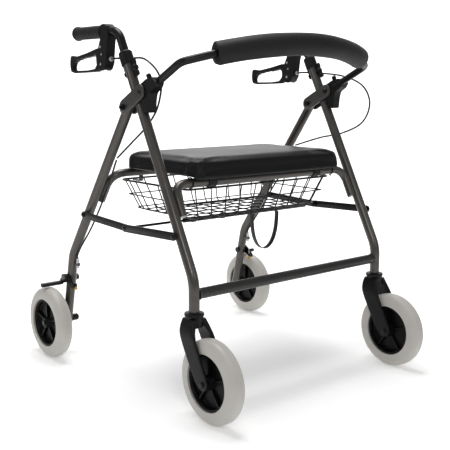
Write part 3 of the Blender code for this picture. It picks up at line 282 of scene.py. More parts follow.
def carry(path, section, reference=(1.0, 0.0, 0.0), scale=1.0, loop=False):
    """S(i, k) = path(i) + scale(i) (section_x(k) side(i) + section_y(k) up(i)).

    side is the reference direction less its share along the path, and up completes the frame.
    """
    path, reference = np.asarray(path, float), np.asarray(reference, float)
    step = np.diff(np.vstack([path, path[:1]]) if loop else path, axis=0)
    after = step if loop else np.vstack([step, step[-1:]])
    before = np.roll(step, 1, axis=0) if loop else np.vstack([step[:1], step])
    along = unit(unit(after) + unit(before))
    side = unit(reference - (along @ reference)[:, None] * along)
    up = np.cross(along, side)
    across = section[None, :, :1] * side[:, None] + section[None, :, 1:] * up[:, None]
    return skin(path[:, None] + np.broadcast_to(scale, len(path))[:, None, None] * across, loop)


def turn(profile, origin, axis, sides=48, loop=False):
    """S(i, a) = origin + h(i) axis + r(i) (cos a side + sin a other)."""
    profile, axis = np.asarray(profile, float), unit(np.asarray(axis, float))
    guide = np.array((0.0, 1.0, 0.0)) if abs(axis[1]) < 0.8 else np.array((1.0, 0.0, 0.0))
    side = unit(guide - (guide @ axis) * axis)
    other = np.cross(axis, side)
    a = (np.arange(sides) + 0.5) * 2 * np.pi / sides
    ring = np.cos(a)[:, None] * side + np.sin(a)[:, None] * other
    grid = np.asarray(origin, float) + profile[:, 1, None, None] * axis + profile[:, 0, None, None] * ring
    return skin(grid, loop)


def plate(outline, low, high, edge, steps=4):
    """An outline in (y, z), drawn from x = low to x = high, its rims rolled in by quarter circles."""
    outline = np.asarray(outline, float)
    along = unit(np.roll(outline, -1, axis=0) - np.roll(outline, 1, axis=0))
    after = np.roll(outline, -1, axis=0)
    area = np.sum(outline[:, 0] * after[:, 1] - outline[:, 1] * after[:, 0])
    inward = np.stack([-along[:, 1], along[:, 0]], 1) * np.sign(area)
    low, high = min(low, high), max(low, high)
    a = np.linspace(0, np.pi / 2, steps)
    inset = np.concatenate([edge * (1 - np.sin(a)), edge * (1 - np.cos(a))])
    x = np.concatenate([low + edge * (1 - np.cos(a)), high - edge * (1 - np.sin(a))])
    flat = outline[None] + inset[:, None, None] * inward[None]
    grid = np.concatenate([np.broadcast_to(x[:, None, None], (len(x), len(outline), 1)), flat], axis=2)
    return skin(grid)


def bar_outline(a, b, radius, steps=14):
    """A slot shape: half a circle about each end."""
    a, b = np.asarray(a, float), np.asarray(b, float)
    base = math.atan2(b[1] - a[1], b[0] - a[0])
    t = np.linspace(0, np.pi, steps)[:, None]
    near = b + radius * np.hstack([np.cos(t + base - np.pi / 2), np.sin(t + base - np.pi / 2)])
    far = a + radius * np.hstack([np.cos(t + base + np.pi / 2), np.sin(t + base + np.pi / 2)])
    return np.vstack([near, far])


def between(front, back, x, thick, columns=32, power=0.35, loop=False):
    """S(v, u) = middle(v) + half(v) c(u) in (y, z), and x(v) + thick(v) / 2 s(u) across.

    front and back are two edges in (y, z). c = sgn(cos u) |cos u| ** power, and s is the same of the sine.
    """
    front, back = np.asarray(front, float), np.asarray(back, float)
    u = np.arange(columns) * 2 * np.pi / columns
    c, d = (np.sign(w) * np.abs(w) ** power for w in (np.cos(u), np.sin(u)))
    yz = (front + back)[:, None] / 2 + (front - back)[:, None] / 2 * c[None, :, None]
    xs = np.broadcast_to(x, len(front))[:, None] + np.broadcast_to(thick, len(front))[:, None] / 2 * d
    return skin(np.concatenate([xs[..., None], yz], axis=2), loop)


def even_ring(outline, count):
    """The same closed outline with its points at equal steps of length."""
    closed = np.vstack([outline, outline[:1]])
    length = np.concatenate([[0.0], np.cumsum(np.linalg.norm(np.diff(closed, axis=0), axis=1))])
    at = np.linspace(0, length[-1], count, endpoint=False)
    return np.stack([np.interp(at, length, closed[:, k]) for k in range(closed.shape[1])], axis=1)


# %% [markdown]
# One function turns such surfaces into a piece: it joins them, points the faces
# outwards, keeps crisp edges crisp, hides the solid it stands for and lets it ride on that solid's body.
# A second one takes a bracket's own solid, cleans its flats and rolls its edges.


# %% Piece helpers
MERGE, SOLID_MERGE = 1e-6, 1e-5
FLAT_DEGREES, EDGE_DEGREES = 1.0, 32.0


def dress(obj, node, paint, sharp):
    """Shades the piece, sets its finish, and lets it ride for the node that it replaces."""
    obj.data.materials.clear()
    obj.data.materials.append(paint)
    obj.data.shade_smooth()
    obj.data.set_sharp_from_angle(angle=math.radians(sharp))
    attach(obj, BODY[node])
    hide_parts(node)
    return obj


def piece(name, surfaces, paint, node, sharp=38.0):
    """Joins (points, faces) surfaces into one mesh object that stands for a node."""
    starts = np.cumsum([0] + [len(points) for points, _ in surfaces])
    points = np.concatenate([points for points, _ in surfaces])
    faces = [[start + v for v in face] for start, (_, some) in zip(starts, surfaces) for face in some]
    mesh = bpy.data.meshes.new(name)
    mesh.from_pydata(points.tolist(), [], faces)
    work = bmesh.new()
    work.from_mesh(mesh)
    bmesh.ops.remove_doubles(work, verts=work.verts, dist=MERGE)
    bmesh.ops.recalc_face_normals(work, faces=work.faces)
    work.to_mesh(mesh)
    work.free()
    return dress(new_object(name, mesh), node, paint, sharp)


def soften(node, name, paint, width_mm, rings, sharp=50.0):
    """A copy of a bracket's solid with its flats joined up and its edges rolled."""
    mesh = frame["nodes"][node].data.copy()
    flat = math.radians(FLAT_DEGREES)
    work = bmesh.new()
    work.from_mesh(mesh)
    bmesh.ops.remove_doubles(work, verts=work.verts, dist=SOLID_MERGE)
    bmesh.ops.dissolve_limit(work, angle_limit=flat, verts=work.verts, edges=work.edges)
    work.to_mesh(mesh)
    work.free()
    obj = new_object(name, mesh)
    edges = obj.modifiers.new("edges", "BEVEL")
    edges.width = width_mm / 1000.0
    edges.segments = rings
    edges.limit_method = "ANGLE"
    edges.angle_limit = math.radians(EDGE_DEGREES)
    return dress(obj, node, paint, sharp)


# %% [markdown]
# The frame's joints say where its bolts, stems, axles and pins sit. The other sizes,
# in metres, say how thick the tubes are and how the legs lean.

# %% Frame sizes
PIVOT = {joint["name"]: joint["pos_m"] for joint in frame["joints"] if "pos_m" in joint}
LEG_X, STEM_Y, LEG_BOTTOM_Z = PIVOT["caster_swivel_left"]
FRONT_AXLE_Y, WHEEL_R = PIVOT["front_wheel_spin_left"][1:]
REAR_WHEEL_X, REAR_AXLE_Y = PIVOT["rear_wheel_spin_left"][:2]
HUB, PROP = (np.array(PIVOT[name][1:]) for name in ("frame_fold", "backrest_swing"))
BRACE_MID, BRACE_Z = tuple(PIVOT["strap_hang"][1:]), PIVOT["front_brace_fold"][2]
FRONT_RAIL_Z = PIVOT["seat_lift"][2]
LEG_R, RAIL_R, RIM_R, GAP = 0.013, 0.011, 0.067, 0.0003
LEG_TOP_Z, CROSSBAR_Z, BASKET_RIM_Z, REAR_BEND_Z, REAR_SLOPE = 0.838, 0.2910, 0.5160, 0.2973, 0.713
COLLAR_Y, COLLAR_Z, TILT = -0.0225, 0.790, math.radians(27.45)
UP_LEG = np.array((0.0, math.sin(TILT), math.cos(TILT)))
STOP_INSET, STOP_Y, STOP_Z = 0.0015, 0.2690, 0.2700
OUTER_FACE, INNER_FACE = LEG_X + LEG_R + GAP, LEG_X - LEG_R - GAP


def front_y(z):
    """The front leg's line: it leans by TILT and passes through its collar."""
    return COLLAR_Y - math.tan(TILT) * (COLLAR_Z - z)


def rear_y(z):
    """The rear leg's line, which starts at the hub bolt."""
    return HUB[0] + REAR_SLOPE * (HUB[1] - z)


def dome(radius, height, start):
    """A domed bolt head: (radius cos a ** 0.6, start + height sin a)."""
    a = np.linspace(0, np.pi / 2, 6)
    return [(radius, start)] + [(radius * math.cos(t) ** 0.6, start + height * math.sin(t)) for t in a]


RAIL_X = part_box("seat_rail_front")[1].x - RAIL_R * math.cos(math.pi / 12)
print("rail ends at x = %.4f m" % RAIL_X)

# %% [markdown]
# The front legs are 26 mm tubes that slope back to the handles and bend upright
# above the forks. A thin weld bead shows where the crossbar meets each of them.

# %% Front legs and crossbar
BAR_R, WELD_R, BAR_INSET, LEG_BEND = 0.0128, 0.0022, 0.010, 0.10
around = np.arange(8) * math.pi / 4
bead = np.stack([BAR_R + WELD_R * np.cos(around), WELD_R * np.sin(around)], 1)
for side, s in SIDES:
    x = s * LEG_X
    top = (x, front_y(LEG_TOP_Z), LEG_TOP_Z)
    knee = (x, STEM_Y, COLLAR_Z - (COLLAR_Y - STEM_Y) / math.tan(TILT))
    leg = carry(bend([top, knee, (x, STEM_Y, LEG_BOTTOM_Z)], LEG_BEND, 16), circle(LEG_R, 40))
    weld_at = (x - s * (LEG_R - 0.0006), STEM_Y, CROSSBAR_Z)
    weld = turn(bead, weld_at, (1, 0, 0), 32, loop=True)
    piece("leg_front_" + side, [leg, weld], graphite_powder_coat, "front_leg_" + side)

bar = [(x, STEM_Y, CROSSBAR_Z) for x in (BAR_INSET - LEG_X, 0, LEG_X - BAR_INSET)]
piece("cross_tube", [carry(bar, circle(BAR_R, 40), (0, 0, 1))], dark_powder_coat, "crossbar")
print("front legs and crossbar done")

# %% [markdown]
# Each rear leg runs from the hub bolt down to the stub axle. It also carries the
# stop for the brake cable: a zinc barrel on a small tab, as on a bicycle.

# %% Rear legs
ABOVE_HUB, BELOW_AXLE, REAR_LEG_BEND, REAR_BOSS, TAB_HALF = 0.0145, 0.016, 0.09, 0.0205, 0.004
TAB = bend([(0.262, 0.266), (0.294, 0.264), (0.289, 0.276), (0.262, 0.274)], 0.002, 4, closed=True)
BARREL = [
    (0.0, -0.010), (0.0046, -0.010), (0.0046, -0.004), (0.0040, -0.0035), (0.0040, 0.003), (0.0046, 0.0035),
    (0.0046, 0.010), (0.0036, 0.0105), (0.0036, 0.0165), (0.0030, 0.017), (0.0, 0.017),
]
shoulder, tip = REAR_WHEEL_X - REAR_BOSS - 0.0010, REAR_WHEEL_X + REAR_BOSS + GAP
AXLE = [
    (0.0, 0.285), (0.0060, 0.2860), (0.0098, 0.2900), (0.0098, shoulder), (0.0050, shoulder), (0.0050, tip),
    (0.0080, tip), (0.0080, tip + 0.0022), (0.0062, tip + 0.0037), (0.0, tip + 0.0037),
]
hub_end = HUB + (unit(np.array((0.0, -REAR_SLOPE, 1.0))) * ABOVE_HUB)[1:]
bend_y = rear_y(REAR_BEND_Z)
slope = (REAR_AXLE_Y - bend_y) / (REAR_BEND_Z - WHEEL_R)
foot = (REAR_AXLE_Y + slope * BELOW_AXLE, WHEEL_R - BELOW_AXLE)
for side, s in SIDES:
    node = "rear_leg_" + side
    x = s * LEG_X
    path = bend([(x, *hub_end), (x, bend_y, REAR_BEND_Z), (x, *foot)], REAR_LEG_BEND, 14)
    tab_x = x - s * STOP_INSET
    tab = plate(TAB, tab_x - TAB_HALF, tab_x + TAB_HALF, 0.0008)
    piece("leg_rear_" + side, [carry(path, circle(LEG_R, 40)), tab], graphite_powder_coat, node)
    axle = turn(AXLE, (0, REAR_AXLE_Y, WHEEL_R), (s, 0, 0), 32)
    piece("stub_axle_" + side, [axle], black_powder_coat, node, 30)
    barrel = turn(BARREL, (tab_x, STOP_Y, STOP_Z), (0, 0, 1), 24)
    piece("cable_stop_" + side, [barrel], zinc_plate, node, 30)
print("rear legs done")

# %% [markdown]
# Two bent rails carry the seat: one welded between the front legs, one between the
# rear legs. The rear one has two small hooks that hold the basket's rim.

# %% Seat rails
RAILS = (("front", front_y, FRONT_RAIL_Z, 0.460), ("rear", rear_y, 0.5370, 0.4615))
RAIL_BEND, HOOK_X, HOOK_HALF, HOOK_T, HOOK_END_Y = 0.060, 0.200, 0.006, 0.003, 0.1530
for end, line, rail_z, end_z in RAILS:
    rail_y, end_y = line(rail_z), line(end_z)
    corners = [(-RAIL_X, end_y, end_z), (-RAIL_X, rail_y, rail_z)]
    corners += [(RAIL_X, rail_y, rail_z), (RAIL_X, end_y, end_z)]
    leg_way = unit(np.array((0.0, rail_y - end_y, rail_z - end_z)))
    surfaces = [carry(bend(corners, RAIL_BEND, 18), circle(RAIL_R, 36), np.cross((1, 0, 0), leg_way))]
    if end == "rear":
        near, low, root_z = rail_y + 0.002, BASKET_RIM_Z - 0.0028 - GAP, 0.531
        hook = [
            (near, root_z), (near, low - HOOK_T), (HOOK_END_Y, low - HOOK_T),
            (HOOK_END_Y, low), (near + HOOK_T, low), (near + HOOK_T, root_z),
        ]
        hook = bend(hook, 0.0009, 3, closed=True)
        for _, s in SIDES:
            surfaces.append(plate(hook, s * HOOK_X - HOOK_HALF, s * HOOK_X + HOOK_HALF, 0.0005))
    piece("seat_tube_" + end, surfaces, graphite_powder_coat, "seat_rail_" + end)
print("seat rails done")

# %% [markdown]
# The hub is a pair of pressed steel plates on each side. One bolt carries the
# backrest prop, the other is the pivot that the whole frame folds about.

# %% Hub plates and bolts
PLATE_T, PLATE_R = 0.004, 0.018
outside, inside = OUTER_FACE + PLATE_T, INNER_FACE - PLATE_T
PIN = [
    (0.0, INNER_FACE - 0.0100), (0.0048, INNER_FACE - 0.0100), (0.0062, INNER_FACE - 0.0085),
    (0.0062, inside), (0.0040, inside), (0.0040, outside), *dome(0.0066, 0.0030, outside),
]
NUT = [
    (0.0, INNER_FACE - 0.0100), (0.0068, INNER_FACE - 0.0100), (0.0068, inside - GAP), (0.0040, inside - GAP),
    (0.0040, outside + GAP), (0.0078, outside + GAP), (0.0078, OUTER_FACE + 0.0093),
    (0.0066, OUTER_FACE + 0.0100), (0.0040, OUTER_FACE + 0.0100), (0.0040, OUTER_FACE + 0.0140),
    (0.0034, OUTER_FACE + 0.0145), (0.0, OUTER_FACE + 0.0145),
]
shape = bar_outline(PROP, HUB, PLATE_R)
for side, s in SIDES:
    plates = [plate(shape, s * a, s * b, 0.0010) for a, b in ((OUTER_FACE, outside), (inside, INNER_FACE))]
    node = "hub_plates_" + side
    piece("hub_plate_pair_" + side, plates, graphite_powder_coat, node)
    piece("prop_bolt_" + side, [turn(PIN, (0, *PROP), (s, 0, 0), 32)], black_powder_coat, node, 30)
    nut = turn(NUT, (0, *HUB), (s, 0, 0), 24)
    piece("fold_bolt_" + side, [nut], black_powder_coat, "hub_pivot_bolt_" + side, 30)
print("hubs done")

# %% [markdown]
# A nylon collar closes the top of each front leg round the handle tube, and a bolt
# with a wing knob goes through both. Their solids already have the right shape, so
# these pieces are copies with a radius on every sharp edge.

# %% Softened brackets
BRACKETS = (
    ("height_collar_", "leg_collar_", moulded_nylon, 0.8, 3),
    ("wing_knob_", "height_knob_", moulded_nylon, 1.0, 3),
    ("backrest_prop_", "back_prop_", moulded_nylon, 1.4, 3),
    ("seat_clip_", "rail_clip_", moulded_nylon, 1.0, 3),
    ("brake_arm_", "brake_shoe_arm_", black_powder_coat, 0.7, 3),
    ("brake_housing_", "lever_housing_", moulded_nylon, 1.6, 4),
)
for side, _ in SIDES:
    for node, name, paint, width_mm, rings in BRACKETS:
        soften(node + side, name + side, paint, width_mm, rings)
print("softened brackets done")

# %% [markdown]
# A caster fork is one nylon moulding. Its round crown swells into two blades that
# sweep back and down to the axle. Each blade is a surface between a front and a rear
# edge, thick at the crown and thin at the axle, so that it has no flat corner.

# %% Caster forks
BLADE = np.array(  # front edge y and z, rear edge y and z, distance from the middle, thickness
    [
        (-0.2860, 0.2360, -0.2455, 0.2360, 0.0120, 0.0180),
        (-0.2905, 0.2200, -0.2450, 0.2200, 0.0200, 0.0150),
        (-0.3000, 0.2010, -0.2475, 0.2030, 0.0262, 0.0100),
        (-0.3095, 0.1830, -0.2560, 0.1830, 0.0278, 0.0074),
        (-0.3290, 0.1450, -0.2770, 0.1450, 0.0278, 0.0066),
        (-0.3440, 0.1170, -0.2940, 0.1180, 0.0278, 0.0066),
        (-0.3488, 0.1030, -0.3080, 0.0980, 0.0278, 0.0064),
        (-0.3460, 0.0920, -0.3200, 0.0872, 0.0278, 0.0060),
        (-0.3400, 0.0862, -0.3305, 0.0842, 0.0278, 0.0036),
    ]
)
CROWN = [
    (0.0, 0.038), (0.0055, 0.038), (0.0055, -0.0003), (0.0205, -0.0003), (0.0228, -0.0012),
    (0.0235, -0.0035), (0.0234, -0.0070), (0.0218, -0.0095), (0.0207, -0.0115), (0.0212, -0.0195),
    (0.0214, -0.0275), (0.0200, -0.0335), (0.0150, -0.0362), (0.0, -0.0370),
]
CAP_HALF = [(0.0, 0.0340), (0.0056, 0.0340), (0.0068, 0.0330), (0.0068, 0.0300), (0.0050, 0.0300)]
axle_cap = [(r, -h) for r, h in CAP_HALF] + CAP_HALF[::-1]
edges = through(BLADE, 6)
for side, s in SIDES:
    x = s * LEG_X
    surfaces = [turn(CROWN, (x, STEM_Y, LEG_BOTTOM_Z), (0, 0, 1), 48)]
    for w in (-1, 1):
        surfaces.append(between(edges[:, :2], edges[:, 2:4], x + w * edges[:, 4], edges[:, 5]))
    surfaces.append(turn(axle_cap, (x, FRONT_AXLE_Y, WHEEL_R), (1, 0, 0), 32))
    piece("fork_" + side, surfaces, moulded_nylon, "caster_fork_" + side, 42)
print("caster forks done")

# %% [markdown]
# Four 200 mm wheels: a solid polyurethane tyre with round shoulders on a ribbed nylon
# rim. The tyre's half profile is a superellipse, and fine mould lines run round the
# middle of the tread. It stands on the floor at a point.

# %% Wheels
TYRE_HALF, BEAD, LINE_PITCH, LINE_DEPTH, LINE_FADE, LINE_END = 0.021, 0.0006, 0.0064, 0.00012, 0.0070, 0.012
RIBS, RIB_HALF, RIB_T, RIB_EDGE, FIRST_RIB = 5, 0.0125, 0.0036, 0.0008, 0.3
FRONT_BOSS = 0.0236


def tyre_profile(count=56):
    """r = bead + rise |cos t| ** 0.72, h = half width sgn(sin t) |sin t| ** 0.62, lined near the middle."""
    t = np.linspace(-np.pi / 2, np.pi / 2, count)
    r = RIM_R + BEAD + (WHEEL_R - RIM_R - BEAD) * np.abs(np.cos(t)) ** 0.72
    h = TYRE_HALF * np.sign(np.sin(t)) * np.abs(np.sin(t)) ** 0.62
    land = np.cos(2 * np.pi * h / LINE_PITCH) * np.exp(-((h / LINE_FADE) ** 4))
    return np.stack([r - LINE_DEPTH * (1 - land) * (np.abs(h) < LINE_END), h], 1)


def rim_surfaces(centre, boss):
    """A dished disc with a stepped bead, and ribs that stand out on both of its faces."""
    half = [
        (0.0054, boss), (0.0125, boss), (0.0140, boss - 0.0012), (0.0150, boss - 0.006), (0.0200, 0.0060),
        (0.0560, 0.0038), (0.0585, 0.0060), (0.0605, 0.0150), (0.0620, 0.0168), (0.0655, 0.0170),
        (RIM_R, 0.0160),
    ]
    out = [turn([(r, -h) for r, h in half] + half[::-1], centre, (1, 0, 0), 72, loop=True)]
    section = soft_box(2.0, RIB_T, RIB_EDGE, 3) * (RIB_HALF, 1.0)
    for k in range(RIBS):
        a = 2 * math.pi * k / RIBS + FIRST_RIB
        way = np.array((0.0, math.cos(a), math.sin(a)))
        path = np.asarray(centre) + np.linspace(0.0130, 0.0600, 6)[:, None] * way
        out.append(carry(path, section))
    return out


WHEELS = (("front", LEG_X, FRONT_AXLE_Y, FRONT_BOSS), ("rear", REAR_WHEEL_X, REAR_AXLE_Y, REAR_BOSS))
for end, x, y, boss in WHEELS:
    for side, s in SIDES:
        which, centre = "_%s_%s" % (end, side), (s * x, y, WHEEL_R)
        tyre = turn(tyre_profile(), centre, (1, 0, 0), 128, loop=True)
        piece("tyre" + which, [tyre], tyre_polyurethane, "%s_tyre_%s" % (end, side))
        piece("rim" + which, rim_surfaces(centre, boss), wheel_nylon, "%s_rim_%s" % (end, side), 32)
print("wheels done")

# %% [markdown]
# Flat bars tie the legs on each side. They hinge in the middle on a cross bar, which
# a webbing loop pulls up when the walker is folded.

# %% Braces, fold bar and pull strap
BRACE_T, BRACE_EDGE, FOLD_BAR_R = 0.0040, 0.0008, 0.0064
BRACE_FRONT, BRACE_REAR = (front_y(BRACE_Z), BRACE_Z), (rear_y(BRACE_Z), BRACE_Z)
FIRST = OUTER_FACE
SECOND = FIRST + BRACE_T + GAP
for side, s in SIDES:
    back = plate(bar_outline(BRACE_MID, BRACE_REAR, 0.0095), s * FIRST, s * (FIRST + BRACE_T), BRACE_EDGE)
    bolt = [(0.0066, FIRST + 0.0030)] + dome(0.0066, 0.0045, FIRST + BRACE_T)
    surfaces = [back, turn(bolt, (0, *BRACE_REAR), (s, 0, 0), 28)]
    piece("brace_back_" + side, surfaces, black_powder_coat, "brace_rear_" + side)
    front = plate(bar_outline(BRACE_FRONT, BRACE_MID, 0.0100), s * SECOND, s * (SECOND + BRACE_T), BRACE_EDGE)
    head = [(0.0072, FIRST + GAP)] + dome(0.0072, 0.0040, SECOND + BRACE_T)
    rivet = [(0.0052, SECOND + 0.0030)] + dome(0.0052, 0.0026, SECOND + BRACE_T)
    surfaces = [front, turn(head, (0, *BRACE_FRONT), (s, 0, 0), 28)]
    surfaces.append(turn(rivet, (0, *BRACE_MID), (s, 0, 0), 28))
    piece("brace_fore_" + side, surfaces, black_powder_coat, "brace_front_" + side)

bar_end = LEG_X + LEG_R
FOLD_BAR = [
    (0.0, -bar_end), (0.0034, -bar_end), (0.0034, -0.156), (FOLD_BAR_R, -0.155), (FOLD_BAR_R, -0.130),
    (0.0078, -0.128), (0.0078, -0.116), (FOLD_BAR_R, -0.114), (FOLD_BAR_R, -0.030), (0.0078, -0.028),
    (0.0078, -0.016), (FOLD_BAR_R, -0.014), (FOLD_BAR_R, 0.297), (0.0034, 0.298), (0.0034, bar_end),
    (0.0, bar_end),
]
piece("cross_bar", [turn(FOLD_BAR, (0, *BRACE_MID), (1, 0, 0), 32)], black_powder_coat, "fold_bar", 30)

STRAP_X, STRAP_HALF, STRAP_DROP, STRAP_W, STRAP_T = 0.135, 0.048, 0.104, 0.016, 0.0018
STRAP_TOP = BRACE_MID[1] - FOLD_BAR_R - GAP
t = np.linspace(0, np.pi, 48)
hang = STRAP_TOP - STRAP_DROP * np.sin(t) ** 0.8
droop = np.stack([STRAP_X + STRAP_HALF * np.cos(t), np.full_like(t, BRACE_MID[0]), hang], 1)
strap = carry(droop, soft_box(STRAP_W, STRAP_T, STRAP_T * 0.45, 3), (0, 1, 0))
piece("pull_strap", [strap], webbing, "fold_strap")
print("braces, bar and strap done")

# %% [markdown]
# The basket is welded from 3.4 mm rods: long U-shaped rods run down the front, along
# the floor and up the back, others run from side to side, and three rings tie them.
# The top ring is a thicker rod, with two hooks that hang it on the front seat rail.

# %% Wire basket
RIM_X, LOW_X, RIM_Y0, RIM_Y1, INSET_Y = 0.250, 0.218, -0.150, 0.146, 0.026
MID_Z, LOW_Z, WIRE, RIM_WIRE, HOOK_WIRE, HOOK_CLEAR = 0.4770, 0.4370, 0.0017, 0.0027, 0.0015, 0.0019
FLOOR_Z = LOW_Z - 0.0040
LONG_RODS, CROSS_RODS = np.linspace(-0.9, 0.9, 10), np.linspace(-0.833, 0.833, 6)


def at_level(z):
    """Half width and the two y limits of the sloping walls at a height."""
    k = (BASKET_RIM_Z - z) / (BASKET_RIM_Z - LOW_Z)
    return RIM_X + (LOW_X - RIM_X) * k, RIM_Y0 + INSET_Y * k, RIM_Y1 - INSET_Y * k


def ring_at(z, radius, corner=0.022):
    """A rod that runs round the walls at one height."""
    x, y0, y1 = at_level(z)
    path = bend([(-x, y0, z), (x, y0, z), (x, y1, z), (-x, y1, z)], corner, 8, closed=True)
    return carry(path, circle(radius, 10), (0, 0, 1), loop=True)


def hoop(kind, place, lift=0.0):
    """A rod that falls from the rim, crosses the floor and climbs the other side.

    place runs from -1 to 1 across the rods of its kind, and lift lays one kind on top of the other.
    """
    (x0, y0, y1), (x1, v0, v1) = at_level(BASKET_RIM_Z), at_level(FLOOR_Z)
    if kind == "long":
        line = [(place * x0, y0, BASKET_RIM_Z), (place * x1, v0, FLOOR_Z)]
        line += [(place * x1, v1, FLOOR_Z), (place * x0, y1, BASKET_RIM_Z)]
        guide = (1, 0, 0)
    else:
        rim_y = (y0 + y1) / 2 + place * (y1 - y0) / 2
        floor_y = (v0 + v1) / 2 + place * (v1 - v0) / 2
        line = [(-x0, rim_y, BASKET_RIM_Z), (-x1, floor_y, FLOOR_Z + lift)]
        line += [(x1, floor_y, FLOOR_Z + lift), (x0, rim_y, BASKET_RIM_Z)]
        guide = (0, 1, 0)
    return carry(bend(line, 0.020, 6), circle(WIRE, 8), guide)


rods = [ring_at(BASKET_RIM_Z, RIM_WIRE), ring_at(MID_Z, WIRE, 0.006), ring_at(LOW_Z + 0.004, WIRE)]
rods += [hoop("long", place) for place in LONG_RODS]
rods += [hoop("cross", place, 2 * WIRE) for place in CROSS_RODS]
rail_y, reach = front_y(FRONT_RAIL_Z), RAIL_R + HOOK_CLEAR
turned = np.radians(np.linspace(-90, -325, 22))
for _, s in SIDES:
    x = np.full_like(turned, s * (RIM_X - 0.0062))
    eye = np.stack([x, rail_y + reach * np.cos(turned), FRONT_RAIL_Z + reach * np.sin(turned)], 1)
    root = (s * (RIM_X + 0.001), rail_y + 0.002, BASKET_RIM_Z + 0.001)
    rods.append(carry(np.vstack([root, eye]), circle(HOOK_WIRE, 10), (1, 0.05, 0)))
basket = piece("wire_basket", rods, black_powder_coat, "basket_floor")
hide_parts("basket_front", "basket_rear", "basket_right", "basket_left")
print("basket:", len(rods), "rods")

# %% [markdown]
# The backrest is one bent tube in a plane that leans forwards. Foam tubing slips
# over its middle, a little rounded at the ends and never quite even along its length.

# %% Backrest
BACK_R, BACK_X, BACK_BEND, CROWN_X, DROP = 0.0095, 0.3145, 0.030, 0.262, math.radians(26.6)
FOOT_Y, FOOT_Z, ARC_R, ARC_S = -0.1000, 0.7605, 0.534, 0.2284
FALL = np.array((0.0, -math.cos(DROP), math.sin(DROP)))
RISE = np.array((0.0, math.sin(DROP), math.cos(DROP)))


def back_point(x, along):
    """foot + along fall + x (1, 0, 0), for arrays of x and along."""
    climb = np.multiply.outer(np.asarray(along, float), FALL)
    return np.array((0, FOOT_Y, FOOT_Z)) + climb + np.multiply.outer(np.asarray(x, float), (1, 0, 0))


def arc_along(x):
    """How far up the plane the crown's arc of radius ARC_R lies at x."""
    return ARC_S - (ARC_R - np.sqrt(ARC_R**2 - np.asarray(x) ** 2))


xs = np.linspace(-CROWN_X, CROWN_X, 41)
crown = back_point(xs, arc_along(xs))
arms = []
for x, near in ((-BACK_X, crown[0]), (BACK_X, crown[-1])):
    arms.append(bend(np.stack([back_point(x, 0.004), back_point(x, 0.128), near]), BACK_BEND, 12)[:-1])
bow = carry(np.vstack([arms[0], crown, arms[1][::-1]]), circle(BACK_R, 32), RISE)
piece("back_bow", [bow], black_powder_coat, "backrest_tube")

PAD_X, PAD_R, PAD_EDGE, PAD_ROWS, PAD_MOUTH, PAD_STEP = 0.2425, 0.0275, 0.0032, 120, 0.42, 0.0003
UNEVEN, WAVES, CALM = 0.010, 38.0, 0.05
inward = PAD_EDGE * (1 - np.cos(np.linspace(0, np.pi / 2, 7)))
middle = np.linspace(2 * PAD_EDGE - PAD_X, PAD_X - 2 * PAD_EDGE, PAD_ROWS)
px = np.concatenate([inward - PAD_X, middle, PAD_X - inward[::-1]])
end_gap = PAD_X - np.abs(px)
rolled = PAD_EDGE - np.sqrt(PAD_EDGE**2 - np.clip(PAD_EDGE - end_gap, 0, None) ** 2)
swell = 1.0 - rolled / PAD_R + UNEVEN * np.sin(px * WAVES) * np.clip(end_gap / CALM, 0, 1)
pad_path = back_point(px, arc_along(px))
caps = np.vstack([pad_path[:1], pad_path, pad_path[-1:]])
sizes = np.concatenate([[PAD_MOUTH], swell, [PAD_MOUTH]])
caps[0, 0] -= PAD_STEP
caps[-1, 0] += PAD_STEP
foam = piece("foam_sleeve", [carry(caps, circle(PAD_R, 56), RISE, sizes)], foam_skin, "backrest_pad", 60)
print("backrest done")

# %% [markdown]
# Each handle is a black tube that slides in its leg and bends over into a ribbed
# rubber grip. The right one stands one hole higher than the left, as photographed.

# %% Handle tubes and grips
HANDLE_R, HANDLE_BEND, HOLE_PITCH, BEND_Z = 0.011, 0.045, 0.0318, 0.8698
GRIP_R, GRIP_START, GRIP_END, GRIP_PITCH, GROOVE = 0.0165, 0.0700, 0.1980, 0.0125, 0.0013
RAISE = {"right": HOLE_PITCH, "left": 0.0}
BEND = {side: np.array((s * LEG_X, front_y(BEND_Z), BEND_Z)) + UP_LEG * RAISE[side] for side, s in SIDES}


def grip_profile():
    """Flat lands with half-cosine grooves between them, a flange at the end and a closed cap."""
    y = np.linspace(GRIP_START + 0.004, GRIP_END - 0.014, 90)
    wave = 0.5 - 0.5 * np.cos(2 * np.pi * (y - GRIP_START) / GRIP_PITCH)
    root = [(0.0118, GRIP_START), (0.0145, GRIP_START), (GRIP_R - 0.0004, GRIP_START + 0.0015)]
    body = np.stack([GRIP_R - GROOVE * wave**3, y], 1).tolist()
    lip = [
        (GRIP_R + 0.0006, GRIP_END - 0.011), (GRIP_R + 0.0020, GRIP_END - 0.0075),
        (GRIP_R + 0.0022, GRIP_END - 0.0040), (GRIP_R + 0.0010, GRIP_END - 0.0012),
        (0.0135, GRIP_END), (0.0060, GRIP_END), (0.0, GRIP_END),
    ]
    return root + body + lip


for side, s in SIDES:
    b = BEND[side]
    path = bend([b - UP_LEG * 0.200, b, b + (0, GRIP_END - 0.008, 0)], HANDLE_BEND, 16)
    piece("handle_bar_" + side, [carry(path, circle(HANDLE_R, 32))], black_powder_coat, "handle_tube_" + side)
    piece("hand_grip_" + side, [turn(grip_profile(), b, (0, 1, 0), 48)], grip_rubber, "grip_" + side, 45)
print("handles done")

# %% [markdown]
# A brake lever is a nylon loop for all four fingers. Its outer and inner outlines are
# met by rays from the middle of the loop, and the ring between them is one surface.
# Soft waves under the upper bar keep the fingers apart. Zinc screws close the
# housing, and a zinc adjuster holds the cable at its nose.

